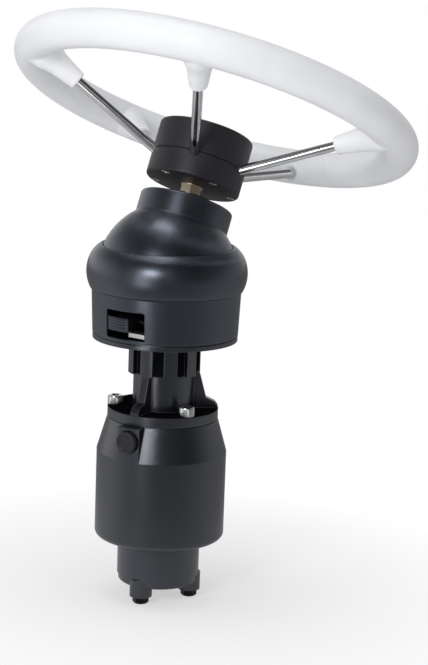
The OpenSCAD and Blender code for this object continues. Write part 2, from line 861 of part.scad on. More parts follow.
// Section of the bezel's outside, filled in to the axis
module bezel_outline() {
    polygon([
        [0, plate_t],
        [bezel_foot_d / 2, plate_t],
        [bezel_crease_d / 2 - crease_step, crease_z],
        [0, crease_z]
    ]);
    intersection() {
        union() {
            translate([shoulder_centre_r, pivot_z]) circle(shoulder_r);
            translate([0, crease_z]) square([shoulder_centre_r, lip_z - crease_z]);
        }
        translate([0, crease_z]) square([2 * dome_d, lip_z - crease_z]);
    }
}

module bezel_skirt() {
    color([0.08, 0.08, 0.09]) difference() {
        rotate_extrude($fn = 96) difference() {
            bezel_outline();
            intersection() {
                translate([0, pivot_z]) circle(bezel_sphere_r);
                translate([0, bezel_bore_top]) square(2 * bezel_sphere_r);
            }
            polygon([
                [0, plate_t - 1],
                [bezel_in_r, plate_t - 1],
                [bezel_in_r, plate_t + locating_lip_h + 1],
                [bezel_bore_top_r, bezel_bore_top],
                [bezel_bore_top_r, bezel_bore_top + 0.5],
                [0, bezel_bore_top + 0.5]
            ]);
        }
        lever_window();
    }
}

// Window for the release lever, cut through the bezel's wall
module lever_window() {
    width = window_x1 - window_x0;
    height = window_z1 - window_z0;
    translate([window_x0, -bezel_in_r / 2, window_z0]) rotate([90, 0, 0]) linear_extrude(bezel_foot_d) {
        translate([window_round, 0]) square([width - 2 * window_round, height]);
        translate([0, window_round]) square([width, height - 2 * window_round]);
        for (x = [window_round, width - window_round], z = [window_round, height - window_round]) {
            translate([x, z]) circle(window_round);
        }
    }
}

// Release lever
module release_lever() {
    left = window_x0 + paddle_gap;
    color([0.06, 0.06, 0.07]) difference() {
        union() {
            intersection() {
                paddle_shell();
                translate([left, -bezel_foot_d, paddle_z0])
                    cube([paddle_x1 - left, bezel_foot_d, paddle_z1 - paddle_z0]);
            }
            lever_arm(left);
            lever_arm(paddle_x1 - lever_arm_t);
            translate([0, -lever_pin_y, lever_pin_z]) cross_rod(lever_barrel_d, left, paddle_x1);
        }
        translate([0, -lever_pin_y, lever_pin_z]) cross_rod(lever_pin_d + 2 * running_gap, -plate_d, plate_d);
    }
}

// Ring that follows the bezel's wall, just inside its outer face
module paddle_shell() {
    rotate_extrude($fn = 96) polygon([
        [paddle_r - paddle_t, plate_t],
        [paddle_r, plate_t],
        [paddle_r + paddle_draft, crease_z],
        [paddle_r + paddle_draft - paddle_t, crease_z]
    ]);
}

// Arm from the paddle's back to the lever's pin
module lever_arm(x) {
    reach = sqrt(pow(paddle_back_r, 2) - pow(window_x0, 2)) + 2;
    half_h = lever_barrel_d / 2 - 0.5;
    translate([x, -reach, lever_pin_z - half_h]) cube([lever_arm_t, reach - lever_pin_y, 2 * half_h]);
}

module lever_pin() {
    color("silver") translate([0, -lever_pin_y, lever_pin_z])
        cross_rod(lever_pin_d, post_left - post_t, post_right + post_t);
}

// Steel latch plate on the lever, drawn in its pressed place with its tooth clear of the sector
module latch_pawl() {
    color("lightgray") difference() {
        union() {
            side_plate(pawl_in, pawl_in + pawl_t) pawl_outline();
            translate([strap_x0, -strap_y, strap_z0])
                cube([strap_x1 - strap_x0, strap_t, strap_z1 - strap_z0]);
        }
        translate([0, -lever_pin_y, lever_pin_z]) cross_rod(lever_pin_d + 2 * running_gap, 0, plate_d);
    }
}

// Outline of the latch plate: an eye on the pin, a front that meets the strap, and an arm with a tooth.
// The arm is drawn locked in the sector and is then turned back by the lever's travel.
module pawl_outline() {
    eye = [-lever_pin_y, lever_pin_z];
    eye_r = lever_barrel_d / 2;
    translate(eye) circle(eye_r);
    polygon([
        [-latch_front, strap_z0],
        [-latch_front, strap_z1],
        eye + [-eye_r, 0],
        eye + [eye_r, 0],
        [-lever_pin_y + 2, strap_z0]
    ]);
    translate(eye) rotate([0, 0, -lever_travel]) translate(-eye) polygon([
        eye + [0, 0.6 * eye_r],
        eye + [0.8 * eye_r, 0.4 * eye_r],
        at_sector(pawl_root_r, pawl_angle - 3.4),
        at_sector(pawl_tip_r, pawl_angle - 2.2),
        at_sector(pawl_tip_r, pawl_angle + 2.2),
        at_sector(pawl_root_r, pawl_angle + 2.8),
        at_sector(pawl_back_r, pawl_angle + 2.8),
        eye + [2, -2 * eye_r],
        eye + [-2, -eye_r]
    ]);
}

// Place beside the locking sector, at a radius and an angle counted down from the -Y side
function at_sector(r, angle) = [-r * cos(angle), pivot_z - r * sin(angle)];

// Torsion spring round the lever's pin, with its leg on the base plate
module lever_spring() {
    coil_from = paddle_x1 + 2.4;
    leg_x = coil_from + spring_turns * spring_pitch;
    color("silver") {
        translate([0, -lever_pin_y, lever_pin_z]) coil(coil_from);
        translate([leg_x, -lever_pin_y + spring_r, 0]) rod(spring_wire_d, plate_t, lever_pin_z);
    }
}

// Wire wound along X, as one closed skin of rings joined in order
module coil(from) {
    rings = spring_turns * spring_steps;
    points = [
        for (k = [0 : rings], j = [0 : spring_sides - 1])
            let (
                turn = 360 * k / spring_steps,
                side = 360 * j / spring_sides,
                r = spring_r + spring_wire_d / 2 * cos(side)
            )
            [
                from + spring_pitch * k / spring_steps + spring_wire_d / 2 * sin(side),
                r * cos(turn), r * sin(turn)
            ]
    ];
    walls = [
        for (k = [0 : rings - 1], j = [0 : spring_sides - 1])
            let (next = (j + 1) % spring_sides, low = k * spring_sides, high = low + spring_sides)
            [low + j, low + next, high + next, high + j]
    ];
    first = [for (j = [spring_sides - 1 : -1 : 0]) j];
    last = [for (j = [0 : spring_sides - 1]) rings * spring_sides + j];
    polyhedron(points, concat(walls, [first, last]));
}

// Neck
module neck_column() {
    color([0.1, 0.1, 0.11]) difference() {
        union() {
            rod(pilot_ring_d, -1, plate_t);
            difference() {
                rod(neck_d, -rib_len, 0);
                ring_of(rib_count, neck_r - rib_depth, rib_phase) {
                    translate([0, -groove_w / 2, -rib_len - 1]) cube([neck_r, groove_w, rib_len + 2]);
                }
            }
            rod(neck_core_d, seat_z - 1, -rib_len + 1);
            for (i = [0 : corner_count - 1]) {
                rotate([0, 0, pump_turn - 90 + i * 360 / corner_count]) neck_fin();
            }
            rod(flange_d, flange_z, seat_z);
            rod(spigot_d, spigot_z, flange_z + 1);
        }
        rod(neck_bore_d, spigot_z - 1, plate_t + 1);
        rod(neck_bush_d + 2 * fit_gap, plate_t - neck_bush_len, plate_t + 1);
        rod(seal_d + 2 * fit_gap, spigot_z - 1, flange_z);
        tube(spigot_d + 2, spigot_d - 2 * oring_d, flange_z - 6, flange_z - 6 + oring_groove);
        ring_of(neck_screw_count, neck_screw_pcd / 2, 45) neck_screw_shape(fit_gap);
        flange_screw_places() rod(flange_screw_d + 2 * clear_gap, flange_z - 1, seat_z + 1);
    }
}

// Flared fin that stiffens the neck's foot, drawn towards +X
module neck_fin() {
    waist = neck_r - 0.5;
    rotate([90, 0, 0]) translate([0, 0, -fin_t / 2]) linear_extrude(fin_t) polygon([
        [neck_bore_d / 2 + 3, -rib_len + 1],
        [waist, -rib_len + 1],
        [waist + 6, seat_z + 9],
        [flange_d / 2 - 3.5, seat_z + 5.8],
        [flange_d / 2 - 0.5, seat_z + 2],
        [flange_d / 2 - 0.5, seat_z - 1],
        [neck_bore_d / 2 + 3, seat_z - 1]
    ]);
}

// Countersunk screw under the base plate's top, grown by a gap
module neck_screw_shape(gap) {
    head_h = (neck_screw_head_d - neck_screw_d) / 2;
    rod(neck_screw_d + 2 * gap, plate_t - neck_screw_len - 2 * gap, plate_t + 2 * gap);
    translate([0, 0, plate_t - head_h])
        cylinder(d1 = neck_screw_d + 2 * gap, d2 = neck_screw_head_d + 2 * gap, h = head_h + gap);
}

module neck_screws() {
    color("silver") ring_of(neck_screw_count, neck_screw_pcd / 2, 45) difference() {
        neck_screw_shape(0);
        translate([0, 0, plate_t - 2]) cylinder(d = hex_d(neck_screw_d * 0.6), h = 3, $fn = 6);
    }
}

module neck_bush() {
    color("peru") tube(neck_bush_d, pump_shaft_d + 2 * running_gap, plate_t - neck_bush_len, plate_t);
}

module shaft_seal() {
    color([0.15, 0.1, 0.08]) tube(seal_d, pump_shaft_d + 2 * running_gap, spigot_z, flange_z);
}

// Places of the flange screws, midway between the neck's fins
module flange_screw_places() {
    ring_of(corner_count, flange_pcd / 2, pump_turn + 90) children();
}

module flange_screws() {
    color("silver") flange_screw_places() difference() {
        union() {
            rod(flange_screw_d, seat_z - flange_screw_len, seat_z + eps);
            rod(flange_head_d, seat_z, seat_z + flange_head_h);
        }
        translate([0, 0, seat_z + flange_head_h / 2])
            cylinder(d = hex_d(flange_socket_af), h = flange_head_h, $fn = 6);
    }
}

module spigot_seal() {
    mid = flange_z - 6 + oring_groove / 2;
    color([0.05, 0.05, 0.05]) translate([0, 0, mid])
        rotate_extrude() translate([spigot_d / 2 - oring_d / 2, 0]) circle(d = oring_d);
}

// Pump housing
module pump_housing() {
    color([0.09, 0.09, 0.1]) difference() {
        rotate_extrude($fn = 96) housing_outline();
        rod(rotor_bore_d, reservoir_top - 1, housing_top + 1);
        tube(reservoir_d, pedestal_d, reservoir_floor, reservoir_top);
        rod(pedestal_d + 1, pedestal_top, reservoir_top);
        rod(cap_spigot_d + 2 * fit_gap, housing_foot - 1, pedestal_top + 1);
        flange_screw_places()
            rod(flange_screw_d + 2 * fit_gap, seat_z - flange_screw_len - 2, housing_top + 1);
        cap_bolt_places() rod(cap_bolt_d + 2 * fit_gap, housing_foot - 1, housing_foot + cap_bolt_reach + 1);
        cone_cut();
        filler_frame() {
            rod(filler_face_d, 0, pump_d / 4);
            rod(filler_thread_d + 2 * fit_gap, -pump_d / 4, 1);
        }
    }
}

// Section of the housing's outside, filled in to the axis
module housing_outline() {
    difference() {
        polygon([
            [0, housing_top],
            [step_d / 2, housing_top],
            [step_d / 2, cone_top_z],
            [pump_d / 2, cone_top_z],
            [pump_d / 2, housing_foot],
            [0, housing_foot]
        ]);
        translate([pump_d / 2 - housing_round, housing_foot]) difference() {
            translate([0, -1]) square([housing_round + 1, housing_round + 1]);
            translate([0, housing_round]) circle(housing_round);
        }
    }
}

// Cut that leaves the cone, all round but for the filler pad
module cone_cut() {
    top = cone_top_z + cone_over;
    out_r = pump_d / 2 + cone_over;
    difference() {
        rotate_extrude($fn = 96) polygon([
            [flange_d / 2 - cone_slope * cone_over, top],
            [out_r, cone_foot_z - cone_over / cone_slope],
            [out_r, top]
        ]);
        rotate([0, 0, pump_turn]) translate([-filler_pad_w / 2, -pump_d, cone_foot_z - pump_d])
            cube([filler_pad_w, pump_d, 2 * pump_d]);
    }
}

// Frame of the filler plug: its origin is the middle of the plug's seat, and Z points out
module filler_frame() {
    rotate([0, 0, pump_turn]) translate([0, -filler_seat_y, cone_top_z - filler_drop])
        rotate([90, 0, 0]) children();
}

module filler_plug() {
    color([0.05, 0.05, 0.06]) filler_frame() {
        thread_len = 13;
        bevel = 0.8;
        rod(filler_thread_d, -thread_len, filler_seal_t + eps);
        rod(filler_d, filler_seal_t, filler_h - bevel);
        translate([0, 0, filler_h - bevel]) cylinder(d1 = filler_d, d2 = filler_d - 2 * bevel, h = bevel);
    }
}

module filler_seal() {
    color([0.04, 0.04, 0.04]) filler_frame()
        tube(filler_d - 2, filler_thread_d + 2 * fit_gap, 0, filler_seal_t);
}

// End cap
module cap_bolt_places() {
    ring_of(corner_count, cap_bolt_pcd / 2, pump_turn - 90) children();
}

module end_cap() {
    color([0.1, 0.1, 0.11]) difference() {
        union() {
            rod(cap_d, cap_foot + cap_band_h, housing_foot);
            rod(cap_band_d, cap_foot + cap_bevel, cap_foot + cap_band_h + 1);
            translate([0, 0, cap_foot])
                cylinder(d1 = cap_band_d - 2 * cap_bevel, d2 = cap_band_d, h = cap_bevel);
            rod(cap_spigot_d, housing_foot - 1, pedestal_top);
            cap_bolt_places() rod(boss_d, cap_foot - boss_h, cap_foot + cap_band_h + 0.8);
        }
        rod(pilot_d + 2 * running_gap, pedestal_top - pilot_depth, pedestal_top + 1);
        tube(cap_spigot_d + 2, cap_spigot_d - 2 * oring_d, housing_foot + 4, housing_foot + 4 + oring_groove);
        cap_bolt_places() rod(cap_bolt_d + 2 * clear_gap, cap_foot - boss_h - 1, housing_foot + 1);
        ring_of(2, port_spread / 2, pump_turn) {
            rod(port_face_d, cap_foot - 1, cap_foot + port_face_depth);
            rod(port_d, cap_foot - 1, cap_foot + port_face_depth + port_depth);
        }
    }
}

module end_cap_seal() {
    mid = housing_foot + 4 + oring_groove / 2;
    color([0.05, 0.05, 0.05]) translate([0, 0, mid])
        rotate_extrude() translate([cap_spigot_d / 2 - oring_d / 2, 0]) circle(d = oring_d);
}

module end_cap_bolts() {
    seat = cap_foot - boss_h;
    color("silver") cap_bolt_places() {
        rod(cap_bolt_d, seat - eps, housing_foot + cap_bolt_reach);
        translate([0, 0, seat - cap_bolt_head]) cylinder(d = hex_d(cap_bolt_af), h = cap_bolt_head, $fn = 6);
    }
}

// Pump rotor and the plates that it runs between
module swash_plate() {
    color("gray") difference() {
        rod(2 * swash_r, swash_mid - swash_r, spigot_z);
        rod(swash_bore_d, swash_mid - 2 * swash_r, spigot_z + 1);
        swash_frame() translate([0, 0, -swash_r])
            cube(2 * [2 * swash_r, 2 * swash_r, swash_r], center = true);
    }
}

// Frame of the swash plate's slanted face
module swash_frame() {
    translate([0, 0, swash_mid]) rotate([swash_angle, 0, 0]) children();
}

module thrust_race() {
    color("silver") swash_frame() tube(2 * race_r, swash_bore_d + 1, -race_t, 0);
}

module valve_plate() {
    slot_r = piston_pcd / 2;
    slot_w = piston_d / 2;
    color("silver") difference() {
        tube(block_d - 1, pilot_d + 1, pedestal_top, pedestal_top + valve_plate_t);
        for (side = [0, 180]) {
            rotate([0, 0, side + 30]) translate([0, 0, pedestal_top - 1])
                rotate_extrude(angle = 120) translate([slot_r - slot_w / 2, 0])
                    square([slot_w, valve_plate_t + 2]);
        }
    }
}

module pump_shaft() {
    slot_w = drive_pin_d + 2 * slot_side_gap;
    cup_foot = pivot_z + cup_floor - cup_floor_t;
    color("darkgray") difference() {
        union() {
            rod(2 * cup_r, cup_foot, pivot_z + cup_top);
            rod(pump_shaft_d, swash_mid - 8, cup_foot + 1);
            translate([0, 0, block_foot])
                cylinder(d = hex_d(drive_af), h = swash_mid - 7 - block_foot, $fn = 6);
            rod(pilot_d, block_foot - pilot_depth + 1 - valve_plate_t, block_foot + 1);
        }
        rod(2 * cup_in_r, pivot_z + cup_floor, pivot_z + cup_top + 1);
        translate([-2 * cup_r, -slot_w / 2, pivot_z + slot_bottom]) cube([4 * cup_r, slot_w, 2 * cup_r]);
    }
}

module cylinder_block() {
    color("gray") difference() {
        rod(block_d, block_foot, block_top);
        translate([0, 0, block_foot - 1])
            cylinder(d = hex_d(drive_af + 2 * fit_gap), h = block_len + 2, $fn = 6);
        ring_of(piston_count, piston_pcd / 2) {
            rod(piston_d + 2 * fit_gap, piston_bore_foot, block_top + 1);
            rod(piston_d / 2, block_foot - 1, piston_bore_foot + 1);
        }
    }
}

module piston(i) {
    crown = piston_d / 2;
    color("silver") rotate([0, 0, i * 360 / piston_count]) translate([piston_pcd / 2, 0, 0]) {
        rod(piston_d, piston_foot, piston_top - crown / 2);
        intersection() {
            rod(piston_d, piston_foot + 1, piston_top);
            translate([0, 0, piston_top - 1.25 * crown]) sphere(1.25 * crown);
        }
    }
}

base_plate();
bezel_skirt();
neck_column();
neck_screws();
neck_bush();
shaft_seal();
flange_screws();
spigot_seal();
pump_housing();
filler_plug();
filler_seal();
swash_plate();
thrust_race();
valve_plate();
end_cap();
end_cap_seal();
end_cap_bolts();
pivot_pins();
lever_pin();
lever_spring();
release_lever();
latch_pawl();
tilt_yoke();
tilt_sector();
dome_cover();
collar_nut();
upper_bush();
lower_bush();
wheel_shaft();
drive_pin();
shaft_circlip();
shaft_key();
hub_core();
hub_base();
hub_cover();
hub_screws();
wheel_washer();
wheel_nut();
wheel_rim();
for (i = [1 : spoke_count]) {
    spoke(i - 1);
}
pump_shaft();
cylinder_block();
for (i = [1 : piston_count]) {
    piston(i - 1);
}
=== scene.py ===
# %% [markdown]
# # A hydraulic helm pump with a tilting wheel
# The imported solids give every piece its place, in metres, and the row frame is kept:
# the dash face is at z = 0, +Z runs up the pump axis and the release lever faces -Y.
# This lesson dresses those solids: first the picture, then the finishes, then the pieces
# whose real surface is finer than a plain solid.

# %% Load the frame
import json
import math

import bmesh
import bpy
import numpy as np
from mathutils import Matrix, Vector


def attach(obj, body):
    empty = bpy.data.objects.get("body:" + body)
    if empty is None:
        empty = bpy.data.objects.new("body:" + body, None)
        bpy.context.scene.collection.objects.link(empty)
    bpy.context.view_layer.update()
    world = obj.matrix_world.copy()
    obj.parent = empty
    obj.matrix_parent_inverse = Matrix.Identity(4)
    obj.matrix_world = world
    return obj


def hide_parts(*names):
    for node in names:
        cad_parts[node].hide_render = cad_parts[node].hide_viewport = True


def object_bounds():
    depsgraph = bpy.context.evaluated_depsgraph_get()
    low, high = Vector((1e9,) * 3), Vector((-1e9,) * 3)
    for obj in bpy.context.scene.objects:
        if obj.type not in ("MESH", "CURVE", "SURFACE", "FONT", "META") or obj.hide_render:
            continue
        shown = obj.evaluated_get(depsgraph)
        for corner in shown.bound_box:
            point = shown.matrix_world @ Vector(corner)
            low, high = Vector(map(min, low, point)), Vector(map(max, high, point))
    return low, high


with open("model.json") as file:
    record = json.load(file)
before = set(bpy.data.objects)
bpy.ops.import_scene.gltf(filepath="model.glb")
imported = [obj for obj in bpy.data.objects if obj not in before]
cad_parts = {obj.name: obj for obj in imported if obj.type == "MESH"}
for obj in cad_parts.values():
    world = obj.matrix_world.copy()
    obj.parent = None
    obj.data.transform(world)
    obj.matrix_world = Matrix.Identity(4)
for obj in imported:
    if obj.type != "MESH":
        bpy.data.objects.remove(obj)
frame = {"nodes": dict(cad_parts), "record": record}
nodes = frame["nodes"]
cad_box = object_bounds()
print("nodes:", len(nodes), "box:", [round(v, 4) for v in (*cad_box[0], *cad_box[1])])

# %% [markdown]
# ## The picture
# The photograph was taken from in front and to the right, a little above the pump, with a
# long lens, and the camera was rolled by about two degrees. The eye point, aim, roll and
# focal length below were fitted to the rim, hub, bezel and pump in the photograph. A tracking
# constraint could aim the camera, but it gives no roll, so the camera's three axes are worked out.

# %% Camera
VIEW_AZIMUTH = math.radians(35.0)
VIEW_HEIGHT = math.radians(11.5)
VIEW_ROLL = math.radians(2.12)
VIEW_AIM = Vector((0.03335, 0.02335, 0.0055))
VIEW_DISTANCE = 1.6035
LENS_MM = 104.05

back = Vector((
    math.sin(VIEW_AZIMUTH) * math.cos(VIEW_HEIGHT),
    -math.cos(VIEW_AZIMUTH) * math.cos(VIEW_HEIGHT),
    math.sin(VIEW_HEIGHT),
))
level = Vector((math.cos(VIEW_AZIMUTH), math.sin(VIEW_AZIMUTH), 0))
rise = back.cross(level)
right = level * math.cos(VIEW_ROLL) + rise * math.sin(VIEW_ROLL)
up = rise * math.cos(VIEW_ROLL) - level * math.sin(VIEW_ROLL)

camera_data = bpy.data.cameras.new("photo_camera")
camera_data.sensor_width = 36.0
camera_data.lens = LENS_MM
camera_data.clip_start = 0.05
camera_data.clip_end = 50.0
camera = bpy.data.objects.new("photo_camera", camera_data)
bpy.context.scene.collection.objects.link(camera)
turn = Matrix((right, up, back)).transposed().to_4x4()
camera.matrix_world = Matrix.Translation(VIEW_AIM + back * VIEW_DISTANCE) @ turn
bpy.context.scene.camera = camera
print("camera at", [round(v, 3) for v in camera.matrix_world.translation])

# %% [markdown]
# ## Helpers
# A colour is written as the sRGB hex value that the eye sees, and one function turns it to
# the linear numbers that the shaders use. One more function adds any node to a material:
# its settings are properties, and its inputs are values or links.

# %% Colour and node helpers
def linear(hex_colour):
    """sRGB hex to linear RGBA: each channel c becomes ((c + 0.055) / 1.055) to the power 2.4,
    and the darkest ones, up to 0.04045, become c / 12.92."""
    channels = np.array([int(hex_colour[i:i + 2], 16) / 255 for i in (1, 3, 5)])
    flat = np.where(channels <= 0.04045, channels / 12.92, ((channels + 0.055) / 1.055) ** 2.4)
    return (*map(float, flat), 1.0)


def put(tree, kind, inputs=None, **settings):
    """Adds a node: settings go to its properties, and inputs to its sockets as values or links."""
    made = tree.nodes.new(kind)
    for name, value in settings.items():
        setattr(made, name, value)
    for name, value in (inputs or {}).items():
        if isinstance(value, bpy.types.NodeSocket):
            tree.links.new(value, made.inputs[name])
        else:
            made.inputs[name].default_value = value
    return made


print("mid grey #808080 is", round(linear("#808080")[0], 4), "in linear light")

# %% [markdown]
# ## The floor
# The real pump was shot on white paper. Lamps that are strong enough to turn paper white would
# also burn out the pale rim. So the paper is a wide disc with two looks: matt paper that takes
# the pump's shadow, and a plain white that comes in with the distance and that only the camera
# and mirrored rays see. In a mirror it is greyer: brightest to the left of the pump, less bright
# to the right, and dim ahead and behind, because black gloss needs dark places between bright ones.

# %% Floor disc
FLOOR_R, FLOOR_GAP, FLOOR_SIDES = 9.0, 0.0005, 96
floor_z = cad_box[0].z - FLOOR_GAP
ring = np.linspace(0, 2 * np.pi, FLOOR_SIDES + 1)[:-1]
floor_points = np.stack([FLOOR_R * np.cos(ring), FLOOR_R * np.sin(ring), np.full(FLOOR_SIDES, floor_z)], -1)
floor_mesh = bpy.data.meshes.new("paper_floor")
floor_mesh.from_pydata(floor_points.tolist(), [], [list(range(FLOOR_SIDES))])
floor = bpy.data.objects.new("paper_floor", floor_mesh)
bpy.context.scene.collection.objects.link(floor)
print("floor at z =", round(floor_z, 4))

# %% Paper
CAMERA_SIDE = (math.sin(VIEW_AZIMUTH), -math.cos(VIEW_AZIMUTH), 0.0)
CAMERA_RIGHT = tuple(level)
WHITE = (1, 1, 1, 1)
# Distances from the frame's origin, which is 0.225 m above the paper, at which the white is nil and
# full. Straight below the pump it is about half.
WHITE_FROM, WHITE_TO = 0.03, 0.40
ROOM_DIM, PAPER_LEFT, PAPER_RIGHT = 0.19, 0.62, 0.43

paper = bpy.data.materials.new("white_paper")
paper.use_nodes = True
tree = paper.node_tree
tree.nodes.clear()
rays = put(tree, "ShaderNodeLightPath").outputs
place = put(tree, "ShaderNodeTexCoord").outputs["Object"]
distance = put(tree, "ShaderNodeVectorMath", {0: place}, operation="LENGTH").outputs["Value"]
far = put(tree, "ShaderNodeMapRange", {
    "Value": distance, "From Min": WHITE_FROM, "From Max": WHITE_TO}).outputs[0]
mirror = put(tree, "ShaderNodeMath", {
    0: rays["Is Glossy Ray"], 1: rays["Is Transmission Ray"]}, operation="MAXIMUM").outputs[0]
seen = put(tree, "ShaderNodeMath", {0: rays["Is Camera Ray"], 1: mirror}, operation="MAXIMUM").outputs[0]
lift = put(tree, "ShaderNodeMath", {0: far, 1: seen}, operation="MULTIPLY").outputs[0]
way = put(tree, "ShaderNodeVectorMath", {0: place}, operation="NORMALIZE").outputs["Vector"]
ahead = put(tree, "ShaderNodeVectorMath", {
    0: way, 1: CAMERA_SIDE}, operation="DOT_PRODUCT").outputs["Value"]
aside = put(tree, "ShaderNodeMath", {0: ahead}, operation="ABSOLUTE").outputs[0]
rightward = put(tree, "ShaderNodeVectorMath", {
    0: way, 1: CAMERA_RIGHT}, operation="DOT_PRODUCT").outputs["Value"]
side = put(tree, "ShaderNodeMapRange", {
    "Value": rightward, "From Min": -0.3, "From Max": 0.3,
    "To Min": PAPER_LEFT, "To Max": PAPER_RIGHT}).outputs[0]
mirrored = put(tree, "ShaderNodeMapRange", {
    "Value": aside, "From Min": 0.1, "From Max": 1.0, "To Min": side, "To Max": ROOM_DIM}).outputs[0]
shown = put(tree, "ShaderNodeMath", {
    0: mirrored, 1: rays["Is Camera Ray"]}, operation="MAXIMUM").outputs[0]
matt = put(tree, "ShaderNodeBsdfDiffuse", {"Color": linear("#F4F4F5")}).outputs[0]
bright = put(tree, "ShaderNodeEmission", {"Color": WHITE, "Strength": shown}).outputs[0]
mixed = put(tree, "ShaderNodeMixShader", {0: lift, 1: matt, 2: bright}).outputs[0]
put(tree, "ShaderNodeOutputMaterial", {"Surface": mixed})
floor_mesh.materials.append(paper)
print("paper nodes:", len(tree.nodes))

# %% [markdown]
# ## The air of the studio
# All that is neither paper nor lamp is the world. To the camera it is white. In a mirror it is a
# room: white behind the pump, dim ahead and overhead, and darker at the right than at the left,
# which is what shapes the black covers. To matt surfaces it is soft light, strongest from the two
# sides, as from white flats, so that the rim's ends stay bright. Real planes could do this, but
# they would stand in the picture, and Light Path lets the world answer each kind of ray by itself.

# %% World
ROOM_RIGHT = 0.42
FLATS_AHEAD, FLATS_BESIDE = 0.28, 0.70

world = bpy.data.worlds.new("studio_air")
world.use_nodes = True
tree = world.node_tree
tree.nodes.clear()
rays = put(tree, "ShaderNodeLightPath").outputs
way = put(tree, "ShaderNodeTexCoord").outputs["Generated"]
height = put(tree, "ShaderNodeSeparateXYZ", {0: way}).outputs["Z"]
ahead = put(tree, "ShaderNodeVectorMath", {
    0: way, 1: CAMERA_SIDE}, operation="DOT_PRODUCT").outputs["Value"]
rightward = put(tree, "ShaderNodeVectorMath", {
    0: way, 1: CAMERA_RIGHT}, operation="DOT_PRODUCT").outputs["Value"]
walls = put(tree, "ShaderNodeMapRange", {
    "Value": ahead, "From Min": -0.2, "From Max": 0.6, "To Min": 1.0, "To Max": ROOM_DIM}).outputs[0]
ceiling = put(tree, "ShaderNodeMapRange", {
    "Value": height, "From Min": 0.15, "From Max": 0.6, "To Min": 1.0, "To Max": ROOM_DIM}).outputs[0]
side = put(tree, "ShaderNodeMapRange", {
    "Value": rightward, "From Min": 0.1, "From Max": 0.8, "To Min": 1.0, "To Max": ROOM_RIGHT}).outputs[0]
room = put(tree, "ShaderNodeMath", {0: walls, 1: ceiling}, operation="MULTIPLY").outputs[0]
room = put(tree, "ShaderNodeMath", {0: room, 1: side}, operation="MULTIPLY").outputs[0]
sideways = put(tree, "ShaderNodeMath", {0: rightward}, operation="ABSOLUTE").outputs[0]
flats = put(tree, "ShaderNodeMapRange", {
    "Value": sideways, "To Min": FLATS_AHEAD, "To Max": FLATS_BESIDE}).outputs[0]
mirror = put(tree, "ShaderNodeMath", {
    0: rays["Is Glossy Ray"], 1: rays["Is Transmission Ray"]}, operation="MAXIMUM").outputs[0]
soft_light = put(tree, "ShaderNodeBackground", {"Color": WHITE, "Strength": flats}).outputs[0]
reflection = put(tree, "ShaderNodeBackground", {"Color": WHITE, "Strength": room}).outputs[0]
backdrop = put(tree, "ShaderNodeBackground", {"Color": WHITE, "Strength": 1.0}).outputs[0]
mixed = put(tree, "ShaderNodeMixShader", {0: mirror, 1: soft_light, 2: reflection}).outputs[0]
mixed = put(tree, "ShaderNodeMixShader", {0: rays["Is Camera Ray"], 1: mixed, 2: backdrop}).outputs[0]
put(tree, "ShaderNodeOutputWorld", {"Surface": mixed})
bpy.context.scene.world = world
bpy.context.scene.view_settings.view_transform = "Standard"
print("world nodes:", len(tree.nodes))

# %% [markdown]
# ## The lamps
# A wide soft box hangs almost straight above, and draws the round light on the dome and the line
# along the lip. A smaller one in front, to the left of the camera, draws the upright light on the
# cone and the light on the shoulder. A weak card at the pump's own height opens up the upright
# faces. Spot lamps would give hard points on the gloss, so all three are areas.

# %% Lamps
LAMP_AIM = Vector((0, 0, 0.05))


def lamp(name, azimuth, height, reach, width, length, watts):
    """A soft box at a reach from the head's middle, aimed at it. Azimuth is in degrees from -Y towards
    +X, and height in degrees from level upwards."""
    a = math.radians(azimuth)
    e = math.radians(height)
    toward = Vector((math.sin(a) * math.cos(e), -math.cos(a) * math.cos(e), math.sin(e)))
    data = bpy.data.lights.new(name, "AREA")
    data.shape = "RECTANGLE"
    data.size = width
    data.size_y = length
    data.energy = watts
    made = bpy.data.objects.new(name, data)
    bpy.context.scene.collection.objects.link(made)
    made.visible_camera = False
    made.rotation_mode = "QUATERNION"
    made.rotation_quaternion = toward.to_track_quat("Z", "Y")
    made.location = LAMP_AIM + toward * reach


lamp("top_softbox", azimuth=-15, height=81.5, reach=2.4, width=1.4, length=1.0, watts=17.0)
lamp("front_softbox", azimuth=12, height=23, reach=1.5, width=0.47, length=0.36, watts=6.4)
lamp("low_card", azimuth=4, height=-2, reach=0.9, width=0.26, length=0.5, watts=1.1)

# %% [markdown]
# ## Moulded and painted finishes
# The black covers are ABS, moulded in a tool with a faint spark-eroded grain, so their light is
# soft-edged. The neck, pump and end cap are cast aluminium under glossy sprayed paint, whose
# orange peel is a shallow wave about two millimetres wide. The rim is polyurethane with a smooth
# closed skin. A flat colour would look like a drawing, so every finish has three layers: a broad
# noise that shifts colour and gloss, a fine one for the bump, and a paler line along edges, which is
# wear, and on the neck a painted highlight. The Bevel node finds those edges: it turns the normal
# near them, and where that normal leaves the surface's own, the edge is.

# %% Moulded skins
BEVEL_SAMPLES = 6
EDGE_FROM, EDGE_FULL = 0.99, 0.82
BROAD_GRAINS, BROAD_PALER = 16, 1.18


